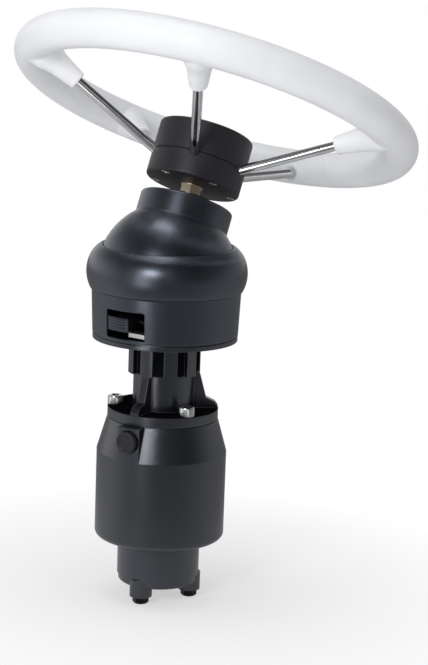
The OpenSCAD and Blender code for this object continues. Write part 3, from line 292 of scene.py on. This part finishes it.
def moulded(name, colour, wear_and_highlight, rough, ior, grain_mm, depth, edge_mm, sheen="#FFFFFF"):
    """A skin on Object coordinates: colour and gloss vary over 16 grains, and the bump is one grain
    wide. The dot product of the bevelled and the plain normal gives the pale edge colour, which is
    wear, and on the neck a painted highlight: 0.99 is none, 0.82 is full, and the broad noise breaks
    it up. Sheen is the tint of what the skin mirrors."""
    material = bpy.data.materials.new(name)
    material.use_nodes = True
    tree = material.node_tree
    tree.nodes.clear()
    where = put(tree, "ShaderNodeTexCoord").outputs["Object"]
    grain = 1000.0 / grain_mm
    broad = put(tree, "ShaderNodeTexNoise", {
        "Vector": where, "Scale": grain / BROAD_GRAINS, "Detail": 4.0}).outputs["Fac"]
    fine = put(tree, "ShaderNodeTexNoise", {"Vector": where, "Scale": grain, "Detail": 2.0}).outputs["Fac"]
    soft = put(tree, "ShaderNodeBevel", {"Radius": edge_mm / 1000.0}, samples=BEVEL_SAMPLES).outputs["Normal"]
    plain = put(tree, "ShaderNodeNewGeometry").outputs["Normal"]
    same = put(tree, "ShaderNodeVectorMath", {0: soft, 1: plain}, operation="DOT_PRODUCT").outputs["Value"]
    edge = put(tree, "ShaderNodeMapRange", {
        "Value": same, "From Min": EDGE_FROM, "From Max": EDGE_FULL, "To Min": 0.0, "To Max": 1.0}).outputs[0]
    patchy = put(tree, "ShaderNodeMath", {0: edge, 1: broad}, operation="MULTIPLY").outputs[0]
    base = linear(colour)
    pale = tuple(min(1.0, BROAD_PALER * c) for c in base[:3]) + (1.0,)
    shade = put(tree, "ShaderNodeMix", {"Factor": broad, "A": base, "B": pale}, data_type="RGBA").outputs[2]
    shade = put(tree, "ShaderNodeMix", {
        "Factor": patchy, "A": shade, "B": linear(wear_and_highlight)}, data_type="RGBA").outputs[2]
    gloss = put(tree, "ShaderNodeMapRange", {
        "Value": broad, "From Min": 0.3, "From Max": 0.7,
        "To Min": 0.9 * rough, "To Max": 1.1 * rough}).outputs[0]
    bump = put(tree, "ShaderNodeBump", {
        "Strength": depth, "Distance": grain_mm / 4000.0, "Height": fine, "Normal": soft}).outputs[0]
    skin = put(tree, "ShaderNodeBsdfPrincipled", {
        "Base Color": shade, "Roughness": gloss, "Normal": bump,
        "IOR": ior, "Specular Tint": linear(sheen)}).outputs[0]
    put(tree, "ShaderNodeOutputMaterial", {"Surface": skin})
    return material


print("wear starts at", round(math.degrees(math.acos(EDGE_FROM))), "degrees of turn")

# %% Plastic, paint and rubber
# Polyurethane skin: satin white, smooth to the hand, a little cool in the shade.
white_polyurethane = moulded(
    "moulded_white_polyurethane", "#E6E7EA", wear_and_highlight="#F4F4F4",
    rough=0.5, ior=1.5, grain_mm=2.4, depth=0.06, edge_mm=0.8)
# Spark-eroded ABS: black with a soft sheen; the grain is drawn at 0.9 mm, coarser than the real 0.2 mm.
cover_abs = moulded(
    "spark_grained_black_abs", "#0F1014", wear_and_highlight="#26272B",
    rough=0.31, ior=1.98, grain_mm=0.9, depth=0.06, edge_mm=1.8, sheen="#E0EAFF")
# Matt ABS of the hub covers and the filler plug: a rougher grain, drawn at 1.2 mm so that it shows,
# makes it greyer and leaves no clear highlight.
hub_abs = moulded(
    "matt_black_abs", "#18181B", wear_and_highlight="#3E3E42",
    rough=0.48, ior=1.55, grain_mm=1.2, depth=0.3, edge_mm=0.8, sheen="#F2F4FF")
# Sprayed gloss paint on cast aluminium: darker and sharper than the plastic, with a slight orange peel.
sprayed_black = moulded(
    "sprayed_black_aluminium", "#0E0F13", wear_and_highlight="#34353A",
    rough=0.25, ior=1.95, grain_mm=2.2, depth=0.06, edge_mm=1.0, sheen="#EEF2FF")
# Nitrile seals: dull and almost black.
nitrile = moulded(
    "moulded_nitrile_rubber", "#101011", wear_and_highlight="#1E1E1F",
    rough=0.65, ior=1.5, grain_mm=0.8, depth=0.2, edge_mm=0.3)
print("materials so far:", len(bpy.data.materials))

# %% [markdown]
# ## The neck's paint, with painted shade and painted highlights
# The neck has the same paint as the pump. The floors of its grooves and the flange's ledge get
# painted shade: two masks on the height and on the distance from the axis take the specular
# reflection off there, so that they stay black. The ribs' edges carry painted highlights in a pale
# edge colour.

# %% Neck paint and painted shade
GROOVE_FLOOR_R, GROOVE_RIB_R = 0.0256, 0.0292
RIBS_FOOT_FROM, RIBS_FOOT_TO = -0.0293, -0.0287
LEDGE_Z, LEDGE_NEAR, LEDGE_OFF = -0.0586, 0.0002, 0.0006

# The pump's paint, with a pale edge colour that paints highlights on the ribs' edges as pale grey lines.
sprayed_neck = moulded(
    "sprayed_neck_casting", "#0E0F13", wear_and_highlight="#626368",
    rough=0.25, ior=1.95, grain_mm=2.2, depth=0.06, edge_mm=1.0, sheen="#EEF2FF")
tree = sprayed_neck.node_tree
where = put(tree, "ShaderNodeTexCoord").outputs["Object"]
height = put(tree, "ShaderNodeSeparateXYZ", {0: where}).outputs["Z"]
flat_place = put(tree, "ShaderNodeVectorMath", {
    0: where, 1: (1, 1, 0)}, operation="MULTIPLY").outputs["Vector"]
from_axis = put(tree, "ShaderNodeVectorMath", {0: flat_place}, operation="LENGTH").outputs["Value"]
# Painted shade on the groove floors: their reflection fades out from the rib's radius in to the floor's.
deep = put(tree, "ShaderNodeMapRange", {
    "Value": from_axis, "From Min": GROOVE_FLOOR_R, "From Max": GROOVE_RIB_R,
    "To Min": 1.0, "To Max": 0.0}).outputs[0]
ribbed = put(tree, "ShaderNodeMapRange", {
    "Value": height, "From Min": RIBS_FOOT_FROM, "From Max": RIBS_FOOT_TO}).outputs[0]
groove_shade = put(tree, "ShaderNodeMath", {0: deep, 1: ribbed}, operation="MULTIPLY").outputs[0]
# Painted shade at the flange's ledge, within 0.2 to 0.6 mm of its height.
off_ledge = put(tree, "ShaderNodeMath", {0: height, 1: LEDGE_Z}, operation="SUBTRACT").outputs[0]
off_ledge = put(tree, "ShaderNodeMath", {0: off_ledge}, operation="ABSOLUTE").outputs[0]
ledge_shade = put(tree, "ShaderNodeMapRange", {
    "Value": off_ledge, "From Min": LEDGE_NEAR, "From Max": LEDGE_OFF,
    "To Min": 1.0, "To Max": 0.0}).outputs[0]
painted_shade = put(tree, "ShaderNodeMath", {0: groove_shade, 1: ledge_shade}, operation="MAXIMUM").outputs[0]
# Where the masks paint shade, the specular level drops from 0.5 to none, so the surface turns black.
shine = put(tree, "ShaderNodeMapRange", {"Value": painted_shade, "To Min": 0.5, "To Max": 0.0}).outputs[0]
tree.links.new(shine, tree.nodes["Principled BSDF"].inputs["Specular IOR Level"])
print("neck paint nodes:", len(tree.nodes))

# %% [markdown]
# ## Metal finishes
# The spokes are stainless rod, polished until they mirror the hub and the paper, with hair-fine
# scratches. The screws are zinc plated, which is bright but slightly uneven. The bare shaft is
# turned brass, and the metals inside the pump are ground, cast or sintered. Brush lines could be
# stretched along one axis, but these pieces were handled from all sides. So the scratches are a
# noise that is warped hard and breaks into short lines in all directions.

# %% Metal skins
# Real scratches are finer than a hair. They are drawn 0.6 mm wide or more, so that they show.
BROAD_SCRATCHES, WARP = 20, 2.5


def metal(name, colour, stain, rough, scratch_mm, depth, edge_mm=0.3):
    """A metal on Object coordinates: a warped noise one scratch wide sets the bump and the gloss,
    and a broad one of 20 scratches blends the colour towards a stain."""
    material = bpy.data.materials.new(name)
    material.use_nodes = True
    tree = material.node_tree
    tree.nodes.clear()
    where = put(tree, "ShaderNodeTexCoord").outputs["Object"]
    pitch = 1000.0 / scratch_mm
    lines = put(tree, "ShaderNodeTexNoise", {
        "Vector": where, "Scale": pitch, "Detail": 3.0, "Distortion": WARP}).outputs["Fac"]
    broad = put(tree, "ShaderNodeTexNoise", {
        "Vector": where, "Scale": pitch / BROAD_SCRATCHES, "Detail": 3.0}).outputs["Fac"]
    tint = put(tree, "ShaderNodeMapRange", {"Value": broad, "From Min": 0.45, "From Max": 0.75}).outputs[0]
    shade = put(tree, "ShaderNodeMix", {
        "Factor": tint, "A": linear(colour), "B": linear(stain)}, data_type="RGBA").outputs[2]
    gloss = put(tree, "ShaderNodeMapRange", {
        "Value": lines, "From Min": 0.3, "From Max": 0.7,
        "To Min": 0.8 * rough, "To Max": 1.25 * rough}).outputs[0]
    soft = put(tree, "ShaderNodeBevel", {"Radius": edge_mm / 1000.0}, samples=BEVEL_SAMPLES).outputs["Normal"]
    bump = put(tree, "ShaderNodeBump", {
        "Strength": depth, "Distance": scratch_mm / 4000.0, "Height": lines, "Normal": soft}).outputs[0]
    skin = put(tree, "ShaderNodeBsdfPrincipled", {
        "Base Color": shade, "Roughness": gloss, "Normal": bump, "Metallic": 1.0}).outputs[0]
    put(tree, "ShaderNodeOutputMaterial", {"Surface": skin})
    return material


print("stains are", BROAD_SCRATCHES, "scratches wide")

# %% Metals
# Polished stainless: a near mirror, so that it shows dark and white stripes side by side.
stainless_rod = metal(
    "polished_stainless_rod", "#E8E9EB", stain="#D9DADC", rough=0.07, scratch_mm=0.8, depth=0.03)
# Bright zinc: bluish white with faint yellow stains.
bright_zinc = metal(
    "bright_zinc_plated_steel", "#D8DADB", stain="#CBCAC6", rough=0.12, scratch_mm=0.9, depth=0.06)
# Black oxide: a dark grey sheen that shows the machining below it.
blackened_steel = metal(
    "black_oxide_steel", "#232426", stain="#2E2B29", rough=0.34, scratch_mm=0.9, depth=0.1)
# Turned brass: pale gold, browner in the stains.
turned_brass = metal(
    "turned_brass", "#FCEBD8", stain="#EFD3AC", rough=0.42, scratch_mm=0.7, depth=0.05)
# Ground steel: grey and even.
ground_steel = metal(
    "ground_steel", "#A9ABAD", stain="#98999B", rough=0.26, scratch_mm=0.7, depth=0.06)
# Bare sand-cast aluminium: pale grey and rough to the hand.
cast_aluminium = metal(
    "bare_cast_aluminium", "#ABACAE", stain="#96979A", rough=0.48, scratch_mm=1.8, depth=0.4, edge_mm=0.6)
# Machined grey iron: darker than steel and a little brown.
grey_iron = metal(
    "machined_grey_iron", "#7C7C7D", stain="#6B6865", rough=0.42, scratch_mm=1.0, depth=0.15)
# Sintered bronze: brown gold with open pores.
bronze = metal(
    "sintered_bronze", "#B0834F", stain="#8F6538", rough=0.4, scratch_mm=0.6, depth=0.2)
print("materials so far:", len(bpy.data.materials))

# %% [markdown]
# ## The latch's plating, with painted shade
# The latch is a zinc plated stamping, and its strap shows as one bright bar in the lever's window.
# Only the strap's lower part is bright: above it, shade is painted into the colour. The strap could
# be cut in two solids, but it is one piece of metal, so a mask on the height darkens its colour.

# %% Latch plating and painted shade
# Heights at which the painted shade on the strap starts and is full.
STRAP_SHADE_FROM, STRAP_SHADE_FULL = 0.0120, 0.0126

# Stamped zinc: plating on a rough blank, so that it spreads light and looks nearly white.
stamped_zinc = metal(
    "zinc_plated_stamping", "#F8F8F6", stain="#EFEFEC", rough=0.5, scratch_mm=0.9, depth=0.06)
tree = stamped_zinc.node_tree
where = put(tree, "ShaderNodeTexCoord").outputs["Object"]
height = put(tree, "ShaderNodeSeparateXYZ", {0: where}).outputs["Z"]
strap_shade = put(tree, "ShaderNodeMapRange", {
    "Value": height, "From Min": STRAP_SHADE_FROM, "From Max": STRAP_SHADE_FULL}).outputs[0]
plating = tree.nodes["Principled BSDF"].inputs["Base Color"]
plated = plating.links[0].from_socket
# The painted shade: above those heights the strap's colour turns near black.
shade = put(tree, "ShaderNodeMix", {
    "Factor": strap_shade, "A": plated, "B": linear("#1A1B1D")}, data_type="RGBA").outputs[2]
tree.links.new(shade, plating)
print("latch plating nodes:", len(tree.nodes))

# %% [markdown]
# ## Solids that keep their shape
# Most solids already have the right form, so they only take a finish. The record names a
# slot for each node, and the slot chooses the finish; a few nodes differ from their slot.

# %% Dress the CAD nodes
slot_finish = {
    "rim_polyurethane": white_polyurethane,
    "polished_spoke": stainless_rod,
    "hub_plastic": hub_abs,
    "black_plastic": cover_abs,
    "black_cast_aluminium": sprayed_black,
    "nitrile_rubber": nitrile,
    "zinc_plated_steel": bright_zinc,
    "blackened_steel": blackened_steel,
    "machined_steel": ground_steel,
    "cast_aluminium": cast_aluminium,
    "grey_iron": grey_iron,
    "bearing_bronze": bronze,
}
own_finish = {
    "wheel_shaft": turned_brass,
    "neck_column": sprayed_neck,
    "latch_pawl": stamped_zinc,
    "lever_spring": blackened_steel,
    "lever_pin": blackened_steel,
}
for entry in frame["record"]["subparts"]:
    finish = own_finish.get(entry["node"], slot_finish[entry["material_slot"]])
    mesh = nodes[entry["node"]].data
    mesh.materials.clear()
    mesh.materials.append(finish)

# %% [markdown]
# ## Surfaces from grids
# Every new piece is one or more sheets of points. A sheet is an array of rings, and each ring
# is a closed row of points, so that quads join a ring to the next one. Rings that shrink
# to a point close a pole, and a sheet whose last ring joins its first is a closed tube.

# %% Grid helpers
PIVOT = 0.0547
LEAN = math.radians(24.0)


def full_turn(steps):
    """Equal angles round a full turn, without the last one, which is the first again."""
    return np.linspace(0, 2 * np.pi, steps + 1)[:-1]


def head_to_row(points):
    """Head frame to row frame: a turn of -24 degrees about X, then a lift to the tilt pivot."""
    x, y, s = np.moveaxis(np.asarray(points, float), -1, 0)
    return np.stack([
        x,
        y * math.cos(LEAN) + s * math.sin(LEAN),
        PIVOT - y * math.sin(LEAN) + s * math.cos(LEAN),
    ], -1)


def turned(radii, heights, angles):
    """Rings round Z: radii is (rings, angles) or (rings, 1), and heights is one value for each ring."""
    r = np.broadcast_to(radii, (len(heights), len(angles)))
    z = np.broadcast_to(np.asarray(heights, float)[:, None], r.shape)
    return np.stack([r * np.cos(angles), r * np.sin(angles), z], -1)


def placed(points, origin, axis, across):
    """Turns a sheet drawn round Z so that Z lies along axis and X along across, then moves it."""
    axis = np.asarray(axis, float)
    across = np.asarray(across, float)
    basis = np.stack([across, np.cross(axis, across), axis])
    return points @ basis + np.asarray(origin, float)


def hexagon(across_flats, angles):
    """Radius of a hexagon at each angle: half its width over the cosine of the angle from the
    nearest flat."""
    third = np.pi / 3
    return across_flats / 2 / np.cos((angles + third / 2) % third - third / 2)


print("tilt pivot at z =", PIVOT, "lean in degrees:", round(math.degrees(LEAN)))

# %% [markdown]
# ## From sheets to a piece
# A mesh wants one list of points and one of faces, so the sheets are laid one after another and
# their quads are numbered on. Poles and seams are then merged and the faces turned outwards.
# Edges that turn more than the crease angle stay sharp, and all others are shaded smooth.

# %% Piece builder
MERGE_GAP, SLIVER = 1e-7, 1e-8


def piece(name, sheets, material, body, crease=40.0):
    """One mesh object from (points, closed) sheets. Quad (i, j) joins ring i to ring i + 1 between
    columns j and j + 1; closed joins the last ring to the first."""
    points = []
    quads = []
    start = 0
    for sheet, closed in sheets:
        rings, columns = sheet.shape[:2]
        i = np.arange(rings if closed else rings - 1)[:, None]
        j = np.arange(columns)[None, :]
        low = start + (i % rings) * columns
        high = start + ((i + 1) % rings) * columns
        after = (j + 1) % columns
        corners = np.broadcast_arrays(low + j, low + after, high + after, high + j)
        quads.append(np.stack(corners, -1).reshape(-1, 4))
        points.append(sheet.reshape(-1, 3))
        start += rings * columns
    mesh = bpy.data.meshes.new(name)
    mesh.from_pydata(np.concatenate(points).tolist(), [], np.concatenate(quads).tolist())
    work = bmesh.new()
    work.from_mesh(mesh)
    bmesh.ops.remove_doubles(work, verts=work.verts, dist=MERGE_GAP)
    bmesh.ops.dissolve_degenerate(work, edges=work.edges, dist=SLIVER)
    bmesh.ops.recalc_face_normals(work, faces=work.faces)
    work.to_mesh(mesh)
    work.free()
    mesh.polygons.foreach_set("use_smooth", np.ones(len(mesh.polygons), bool))
    mesh.set_sharp_from_angle(angle=math.radians(crease))
    mesh.materials.append(material)
    made = bpy.data.objects.new(name, mesh)
    bpy.context.scene.collection.objects.link(made)
    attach(made, body)
    print(name, "faces:", len(mesh.polygons))
    return made


print("points closer than", MERGE_GAP, "m are merged")

# %% [markdown]
# ## The rim
# The real rim is one polyurethane moulding: a tube bent into a ring, with five sockets that
# flow out of it and grip the spokes. A plain cone meets a tube at a hard line, so each
# socket here is a turned profile that widens as it nears the tube, and ends in a round lip.

# %% Rim tube
RIM_R, RIM_TUBE, RIM_RISE = 0.1593, 0.01568, 0.1495
round_the_tube = full_turn(56)
tube_r = RIM_R + RIM_TUBE * np.cos(round_the_tube)
tube_s = RIM_RISE + RIM_TUBE * np.sin(round_the_tube)
rim_sheets = [(head_to_row(turned(tube_r[:, None], tube_s, full_turn(288))), True)]
print("rim across:", round(2 * (RIM_R + RIM_TUBE), 4))

# %% Rim sockets
HUB_SEAM, HUB_R = 0.097, 0.040
SPOKES, SPOKE_R, SPOKE_TURN, SPOKE_GAP = 5, 0.004, 10.0, 0.00006
SOCKET_END = RIM_R - RIM_TUBE - 0.028
SOCKET_R, SOCKET_TAPER, SOCKET_FLARE = 0.0075, 0.0056, 0.0022
FLARE_FROM, FLARE_SPAN, LIP = 0.42, 0.3, 0.0011
slope = math.atan((RIM_RISE - HUB_SEAM) / (RIM_R - HUB_R))
run = (RIM_R - SOCKET_END) / math.cos(slope)
lip_round = np.linspace(0, np.pi / 2, 7)
along = np.linspace(LIP, run, 30)
share = along / run
# The flare is a smooth step: three times the square, less twice the cube.
flow = np.clip((share - FLARE_FROM) / FLARE_SPAN, 0, 1)
wall = SOCKET_R + SOCKET_TAPER * share + SOCKET_FLARE * flow ** 2 * (3 - 2 * flow)
socket_r = np.concatenate([[SPOKE_R + SPOKE_GAP], wall[0] - LIP + LIP * np.sin(lip_round), wall[1:]])
socket_t = np.concatenate([[LIP * 0.9], LIP - LIP * np.cos(lip_round), along[1:]])
plain_socket = turned(socket_r[:, None], socket_t, full_turn(48))
for k in range(SPOKES):
    a = math.radians(SPOKE_TURN + 360 / SPOKES * k)
    outward = np.array([math.cos(a), math.sin(a), 0.0])
    axis = outward * math.cos(slope) + np.array([0, 0, math.sin(slope)])
    across = np.array([-math.sin(a), math.cos(a), 0.0])
    origin = outward * SOCKET_END + np.array([0, 0, HUB_SEAM + (SOCKET_END - HUB_R) * math.tan(slope)])
    rim_sheets.append((head_to_row(placed(plain_socket, origin, axis, across)), False))
rim = piece("rim_moulding", rim_sheets, white_polyurethane, "wheel", crease=50)
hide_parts("wheel_rim")

# %% [markdown]
# ## The flange screws
# Three socket head screws hold the neck to the pump. Each real head is knurled for the
# fingers, has a small round at its top edge and a hexagon socket. A knurl drawn by bump alone
# would leave the outline smooth, so here it is a cosine on the radius, and the socket is a
# hexagon ring that goes down into the head.

# %% Socket head screws
PUMP_TURN = 6.0
FLANGE_PCD, HEAD_R, HEAD_H, SOCKET_AF = 0.080, 0.0065, 0.008, 0.006
KNURL_TEETH, KNURL_DEEP, HEAD_ROUND = 48, 0.00014, 0.0008
round_knurl = full_turn(288)
ones = np.ones_like(round_knurl)
quarter = np.linspace(0, np.pi / 2, 5)
knurl = HEAD_R - KNURL_DEEP * (1 - np.cos(round_knurl * KNURL_TEETH))
socket = hexagon(SOCKET_AF, round_knurl)
# From the socket's floor up its wall, over the round edge, down the knurl and back under the head.
head_r = np.stack(
    [0 * ones, socket * 0.98, socket, np.maximum(socket + 0.0002, SOCKET_AF / 2 * 1.2)]
    + [(HEAD_R - 0.0011 + HEAD_ROUND * math.sin(t)) * ones for t in quarter]
    + [knurl, knurl, (HEAD_R - 0.0004) * ones, 0 * ones]
)
head_z = np.array(
    [HEAD_H * 0.5 - 0.0006, HEAD_H * 0.5, HEAD_H - 0.0003, HEAD_H]
    + [HEAD_H - HEAD_ROUND + HEAD_ROUND * math.cos(t) for t in quarter]
    + [HEAD_H - 0.0012, 0.0005, 0.0, 0.0]
)
screw = turned(head_r, head_z, round_knurl)
screw_sheets = []
for k in range(3):
    a = math.radians(PUMP_TURN + 90 + 120 * k)
    outward = np.array([math.cos(a), math.sin(a), 0.0])
    origin = outward * FLANGE_PCD / 2 + np.array([0, 0, LEDGE_Z])
    screw_sheets.append((placed(screw, origin, (0, 0, 1), outward), False))
flange_set = piece("flange_screw_heads", screw_sheets, bright_zinc, "base", 30)
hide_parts("flange_screws")

# %% [markdown]
# ## The end cap bolts
# The bolts under the end cap have forged hexagon heads with a round chamfer on top and a
# washer face below. They point down, so their axis is -Z. A six-sided cylinder has no chamfer,
# and a bevelled one has a straight edge. The smaller of the hexagon's and a cone's radius gives
# the curved line of a turned chamfer by itself.

# %% Hexagon head bolts
BOLT_SEAT, BOLT_PCD, BOLT_AF, BOLT_H = -0.2185, 0.054, 0.012, 0.006
CHAMFER_H, CHAMFER_FROM, CHAMFER_SPREAD = 0.0011, 0.95, 0.24
round_fine = full_turn(180)
flats = hexagon(BOLT_AF, round_fine)[None]
circle = BOLT_AF / 2 * np.ones_like(flats)
down = np.linspace(0, 1, 6)
chamfer = np.minimum(flats, circle * (CHAMFER_FROM + CHAMFER_SPREAD * down[:, None]))
bolt_r = np.concatenate([
    0 * circle, 0.6 * circle, chamfer, flats, flats, 0.94 * circle, 0.94 * circle, 0 * circle])
bolt_z = np.concatenate([
    [BOLT_H - 0.00025, BOLT_H - 0.0001], BOLT_H - CHAMFER_H * down,
    [BOLT_H - 0.0014, 0.0006, 0.0004, 0.0, 0.0],
])
bolt = turned(bolt_r, bolt_z, round_fine)
bolt_sheets = []
for k in range(3):
    a = math.radians(PUMP_TURN - 90 + 120 * k)
    origin = (BOLT_PCD / 2 * math.cos(a), BOLT_PCD / 2 * math.sin(a), BOLT_SEAT)
    bolt_sheets.append((placed(bolt, origin, (0, 0, -1), (1, 0, 0)), False))
cap_bolts = piece("end_cap_bolt_heads", bolt_sheets, blackened_steel, "base", 30)
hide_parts("end_cap_bolts")

# %% [markdown]
# ## The filler plug
# The plug sits on a spot face in the pad on the cone. Its head has grip flutes round the
# edge, a raised ring and a bare disc a little below the ring. Flutes could be cut one by one, but
# as a cosine on the radius they are part of the same turned sheet and leave no seams.

# %% Filler plug
PLUG_R, PLUG_FROM, PLUG_TO = 0.0092, 0.0016, 0.0058
SEAT_R, PLUG_Z = 0.05332, -0.0789
FLUTES, FLUTE_DEEP, PLUG_ROUND, DISC_DEEP = 36, 0.00022, 0.001, 0.0007
flutes = PLUG_R - FLUTE_DEEP * (1 - np.cos(round_knurl * FLUTES)) / 2
# From the disc's middle over the raised ring and its round edge, down the flutes and back below.
plug_r = np.stack(
    [0 * ones, 0.0062 * ones, 0.0066 * ones, 0.0070 * ones]
    + [(PLUG_R - 0.0012 + PLUG_ROUND * math.sin(t)) * ones for t in quarter]
    + [flutes, flutes, (PLUG_R - 0.0005) * ones, 0 * ones]
)
plug_z = np.array(
    [PLUG_TO - DISC_DEEP, PLUG_TO - DISC_DEEP, PLUG_TO - 0.0004, PLUG_TO]
    + [PLUG_TO - PLUG_ROUND + PLUG_ROUND * math.cos(t) for t in quarter]
    + [PLUG_TO - 0.0014, PLUG_FROM + 0.0004, PLUG_FROM, PLUG_FROM]
)
a = math.radians(PUMP_TURN)
outward = np.array([math.sin(a), -math.cos(a), 0.0])
plug_origin = outward * SEAT_R + np.array([0, 0, PLUG_Z])
plug = placed(turned(plug_r, plug_z, round_knurl), plug_origin, outward, (math.cos(a), math.sin(a), 0))
filler = piece("filler_plug_head", [(plug, False)], hub_abs, "base", 30)
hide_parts("filler_plug")

# %% [markdown]
# ## The bezel's shoulder
# The solid's shoulder is a plain arc, because it has to fit round the dome's sphere. The moulded
# one is up to 1.25 mm fuller at its upper half and turns over the lip with a small round, which is
# what gathers the lamp above into one bright line. So a skin is turned over the arc: it stands
# off by a quarter of a cosine on either side of its fullest place, and its back lies in the solid.

# %% Shoulder skin
SHOULDER_C, SHOULDER_R, CREASE_DROP, LIP_LIFT = 0.035, 0.031, 0.013, 0.0225
CROWN_FOOT, CROWN_RISE, CROWN_AT = 0.0003, 0.00095, math.radians(28.0)
NOSE_R, NOSE_TO, SKIN_DEEP = 0.0012, math.radians(150.0), 0.0005
crease_turn = -math.asin(CREASE_DROP / SHOULDER_R)
lip_turn = math.asin(LIP_LIFT / SHOULDER_R)
skin_turn = np.linspace(crease_turn, lip_turn, 80)
crown_span = np.where(skin_turn > CROWN_AT, lip_turn - CROWN_AT, CROWN_AT - crease_turn)
crown = CROWN_RISE * np.cos(np.pi / 2 * np.abs(skin_turn - CROWN_AT) / crown_span)
skin_out = SHOULDER_R + CROWN_FOOT + crown
skin_r = SHOULDER_C + skin_out * np.cos(skin_turn)
skin_z = PIVOT + skin_out * np.sin(skin_turn)
# The round of the lip starts along the skin's own slope, so that no edge shows between them.
lip_lean = lip_turn + math.atan(CROWN_RISE * np.pi / 2 / (lip_turn - CROWN_AT) / skin_out[-1])
nose_turn = np.linspace(lip_lean, NOSE_TO, 12)[1:]
nose_r = skin_r[-1] + NOSE_R * (np.cos(nose_turn) - math.cos(lip_lean))
nose_z = skin_z[-1] + NOSE_R * (np.sin(nose_turn) - math.sin(lip_lean))
back_turn = np.linspace(lip_turn, crease_turn, 24)[1:-1]
back_r = SHOULDER_C + (SHOULDER_R - SKIN_DEEP) * np.cos(back_turn)
back_z = PIVOT + (SHOULDER_R - SKIN_DEEP) * np.sin(back_turn)
shoulder_r = np.concatenate([skin_r, nose_r, back_r])[:, None]
shoulder = turned(shoulder_r, np.concatenate([skin_z, nose_z, back_z]), round_fine)
skin = piece("bezel_shoulder_skin", [(shoulder, True)], cover_abs, "base", 40)

# %% [markdown]
# ## The paddle's grip
# The release lever is worked with a thumb, and low ribs across its paddle keep a wet thumb from
# slipping. The paddle's face is part of a cone, and boxes laid on it would stand off at their
# ends, so the ribs are a ripple on that cone's radius. Each ring of the sheet runs along the face
# and comes back behind it, which closes the piece.

# %% Paddle ribs
PADDLE_R, PADDLE_FLARE, PADDLE_BASE = 0.0602, 1.45 / 36.7, 0.005
GRIP_LOW, GRIP_HIGH, GRIP_LEFT, GRIP_RIGHT = 0.0142, 0.0238, -0.0143, 0.0063
RIB_PITCH, RIB_H, RIB_FADE = 0.0024, 0.0004, 0.02
GRIP_LIFT, GRIP_DEEP = 0.00002, 0.0003
grip_z = np.linspace(GRIP_LOW, GRIP_HIGH, 65)
grip_turn = np.linspace(math.asin(GRIP_LEFT / PADDLE_R), math.asin(GRIP_RIGHT / PADDLE_R), 26)
face_r = PADDLE_R + PADDLE_FLARE * (grip_z - PADDLE_BASE)
ripple = 0.5 - 0.5 * np.cos(2 * np.pi * (grip_z - GRIP_LOW) / RIB_PITCH)
fade = np.clip(np.minimum(grip_turn - grip_turn[0], grip_turn[-1] - grip_turn) / RIB_FADE, 0, 1)
front_r = face_r[:, None] + GRIP_LIFT + RIB_H * ripple[:, None] * fade
back_r = np.broadcast_to(face_r[:, None] - GRIP_DEEP, front_r.shape)
front_r[[0, -1]] = back_r[[0, -1]]
loop_r = np.concatenate([front_r, back_r[:, ::-1]], 1)
loop_turn = np.concatenate([grip_turn, grip_turn[::-1]])
loop_z = np.broadcast_to(grip_z[:, None], loop_r.shape)
grip_points = np.stack([loop_r * np.sin(loop_turn), -loop_r * np.cos(loop_turn), loop_z], -1)
grip = piece("paddle_grip", [(grip_points, False)], cover_abs, "lever", 60)

# %% [markdown]
# ## Threads in the hydraulic ports
# Two pipes screw into the end cap from below. Rings of grooves would look like a thread from
# afar, but a real one winds: its radius rises and falls along a helix. The height divided by the
# pitch, less the turn round the axis, gives the place on the thread's flank. The back of the
# sheet is a plain tube that lies in the cap.

# %% Port threads
PORT_R, PORT_MOUTH, PORT_OFFSET = 0.0066, -0.2092, 0.012
THREAD_PITCH, THREAD_H, THREAD_FROM, THREAD_TO = 0.0016, 0.00065, 0.0004, 0.0132
port_turn = full_turn(48)
port_z = np.linspace(PORT_MOUTH + THREAD_FROM, PORT_MOUTH + THREAD_TO, 97)
flank = 2 * np.abs((port_z[:, None] / THREAD_PITCH - port_turn / (2 * np.pi)) % 1 - 0.5)
run_in = np.clip((port_z - port_z[0]) / THREAD_PITCH, 0, 1)
run_out = np.clip((port_z[-1] - port_z) / THREAD_PITCH, 0, 1)
thread_r = PORT_R - 0.00005 - THREAD_H * flank * (run_in * run_out)[:, None]
wall_r = np.full((2, len(port_turn)), PORT_R + 0.0001)
port = turned(np.concatenate([thread_r, wall_r]), np.concatenate([port_z, port_z[[-1, 0]]]), port_turn)
a = math.radians(PUMP_TURN)
port_way = np.array([math.cos(a), math.sin(a), 0.0])
port_sheets = [(port + sign * PORT_OFFSET * port_way, True) for sign in (-1, 1)]
threads = piece("port_threads", port_sheets, cast_aluminium, "base", 30)
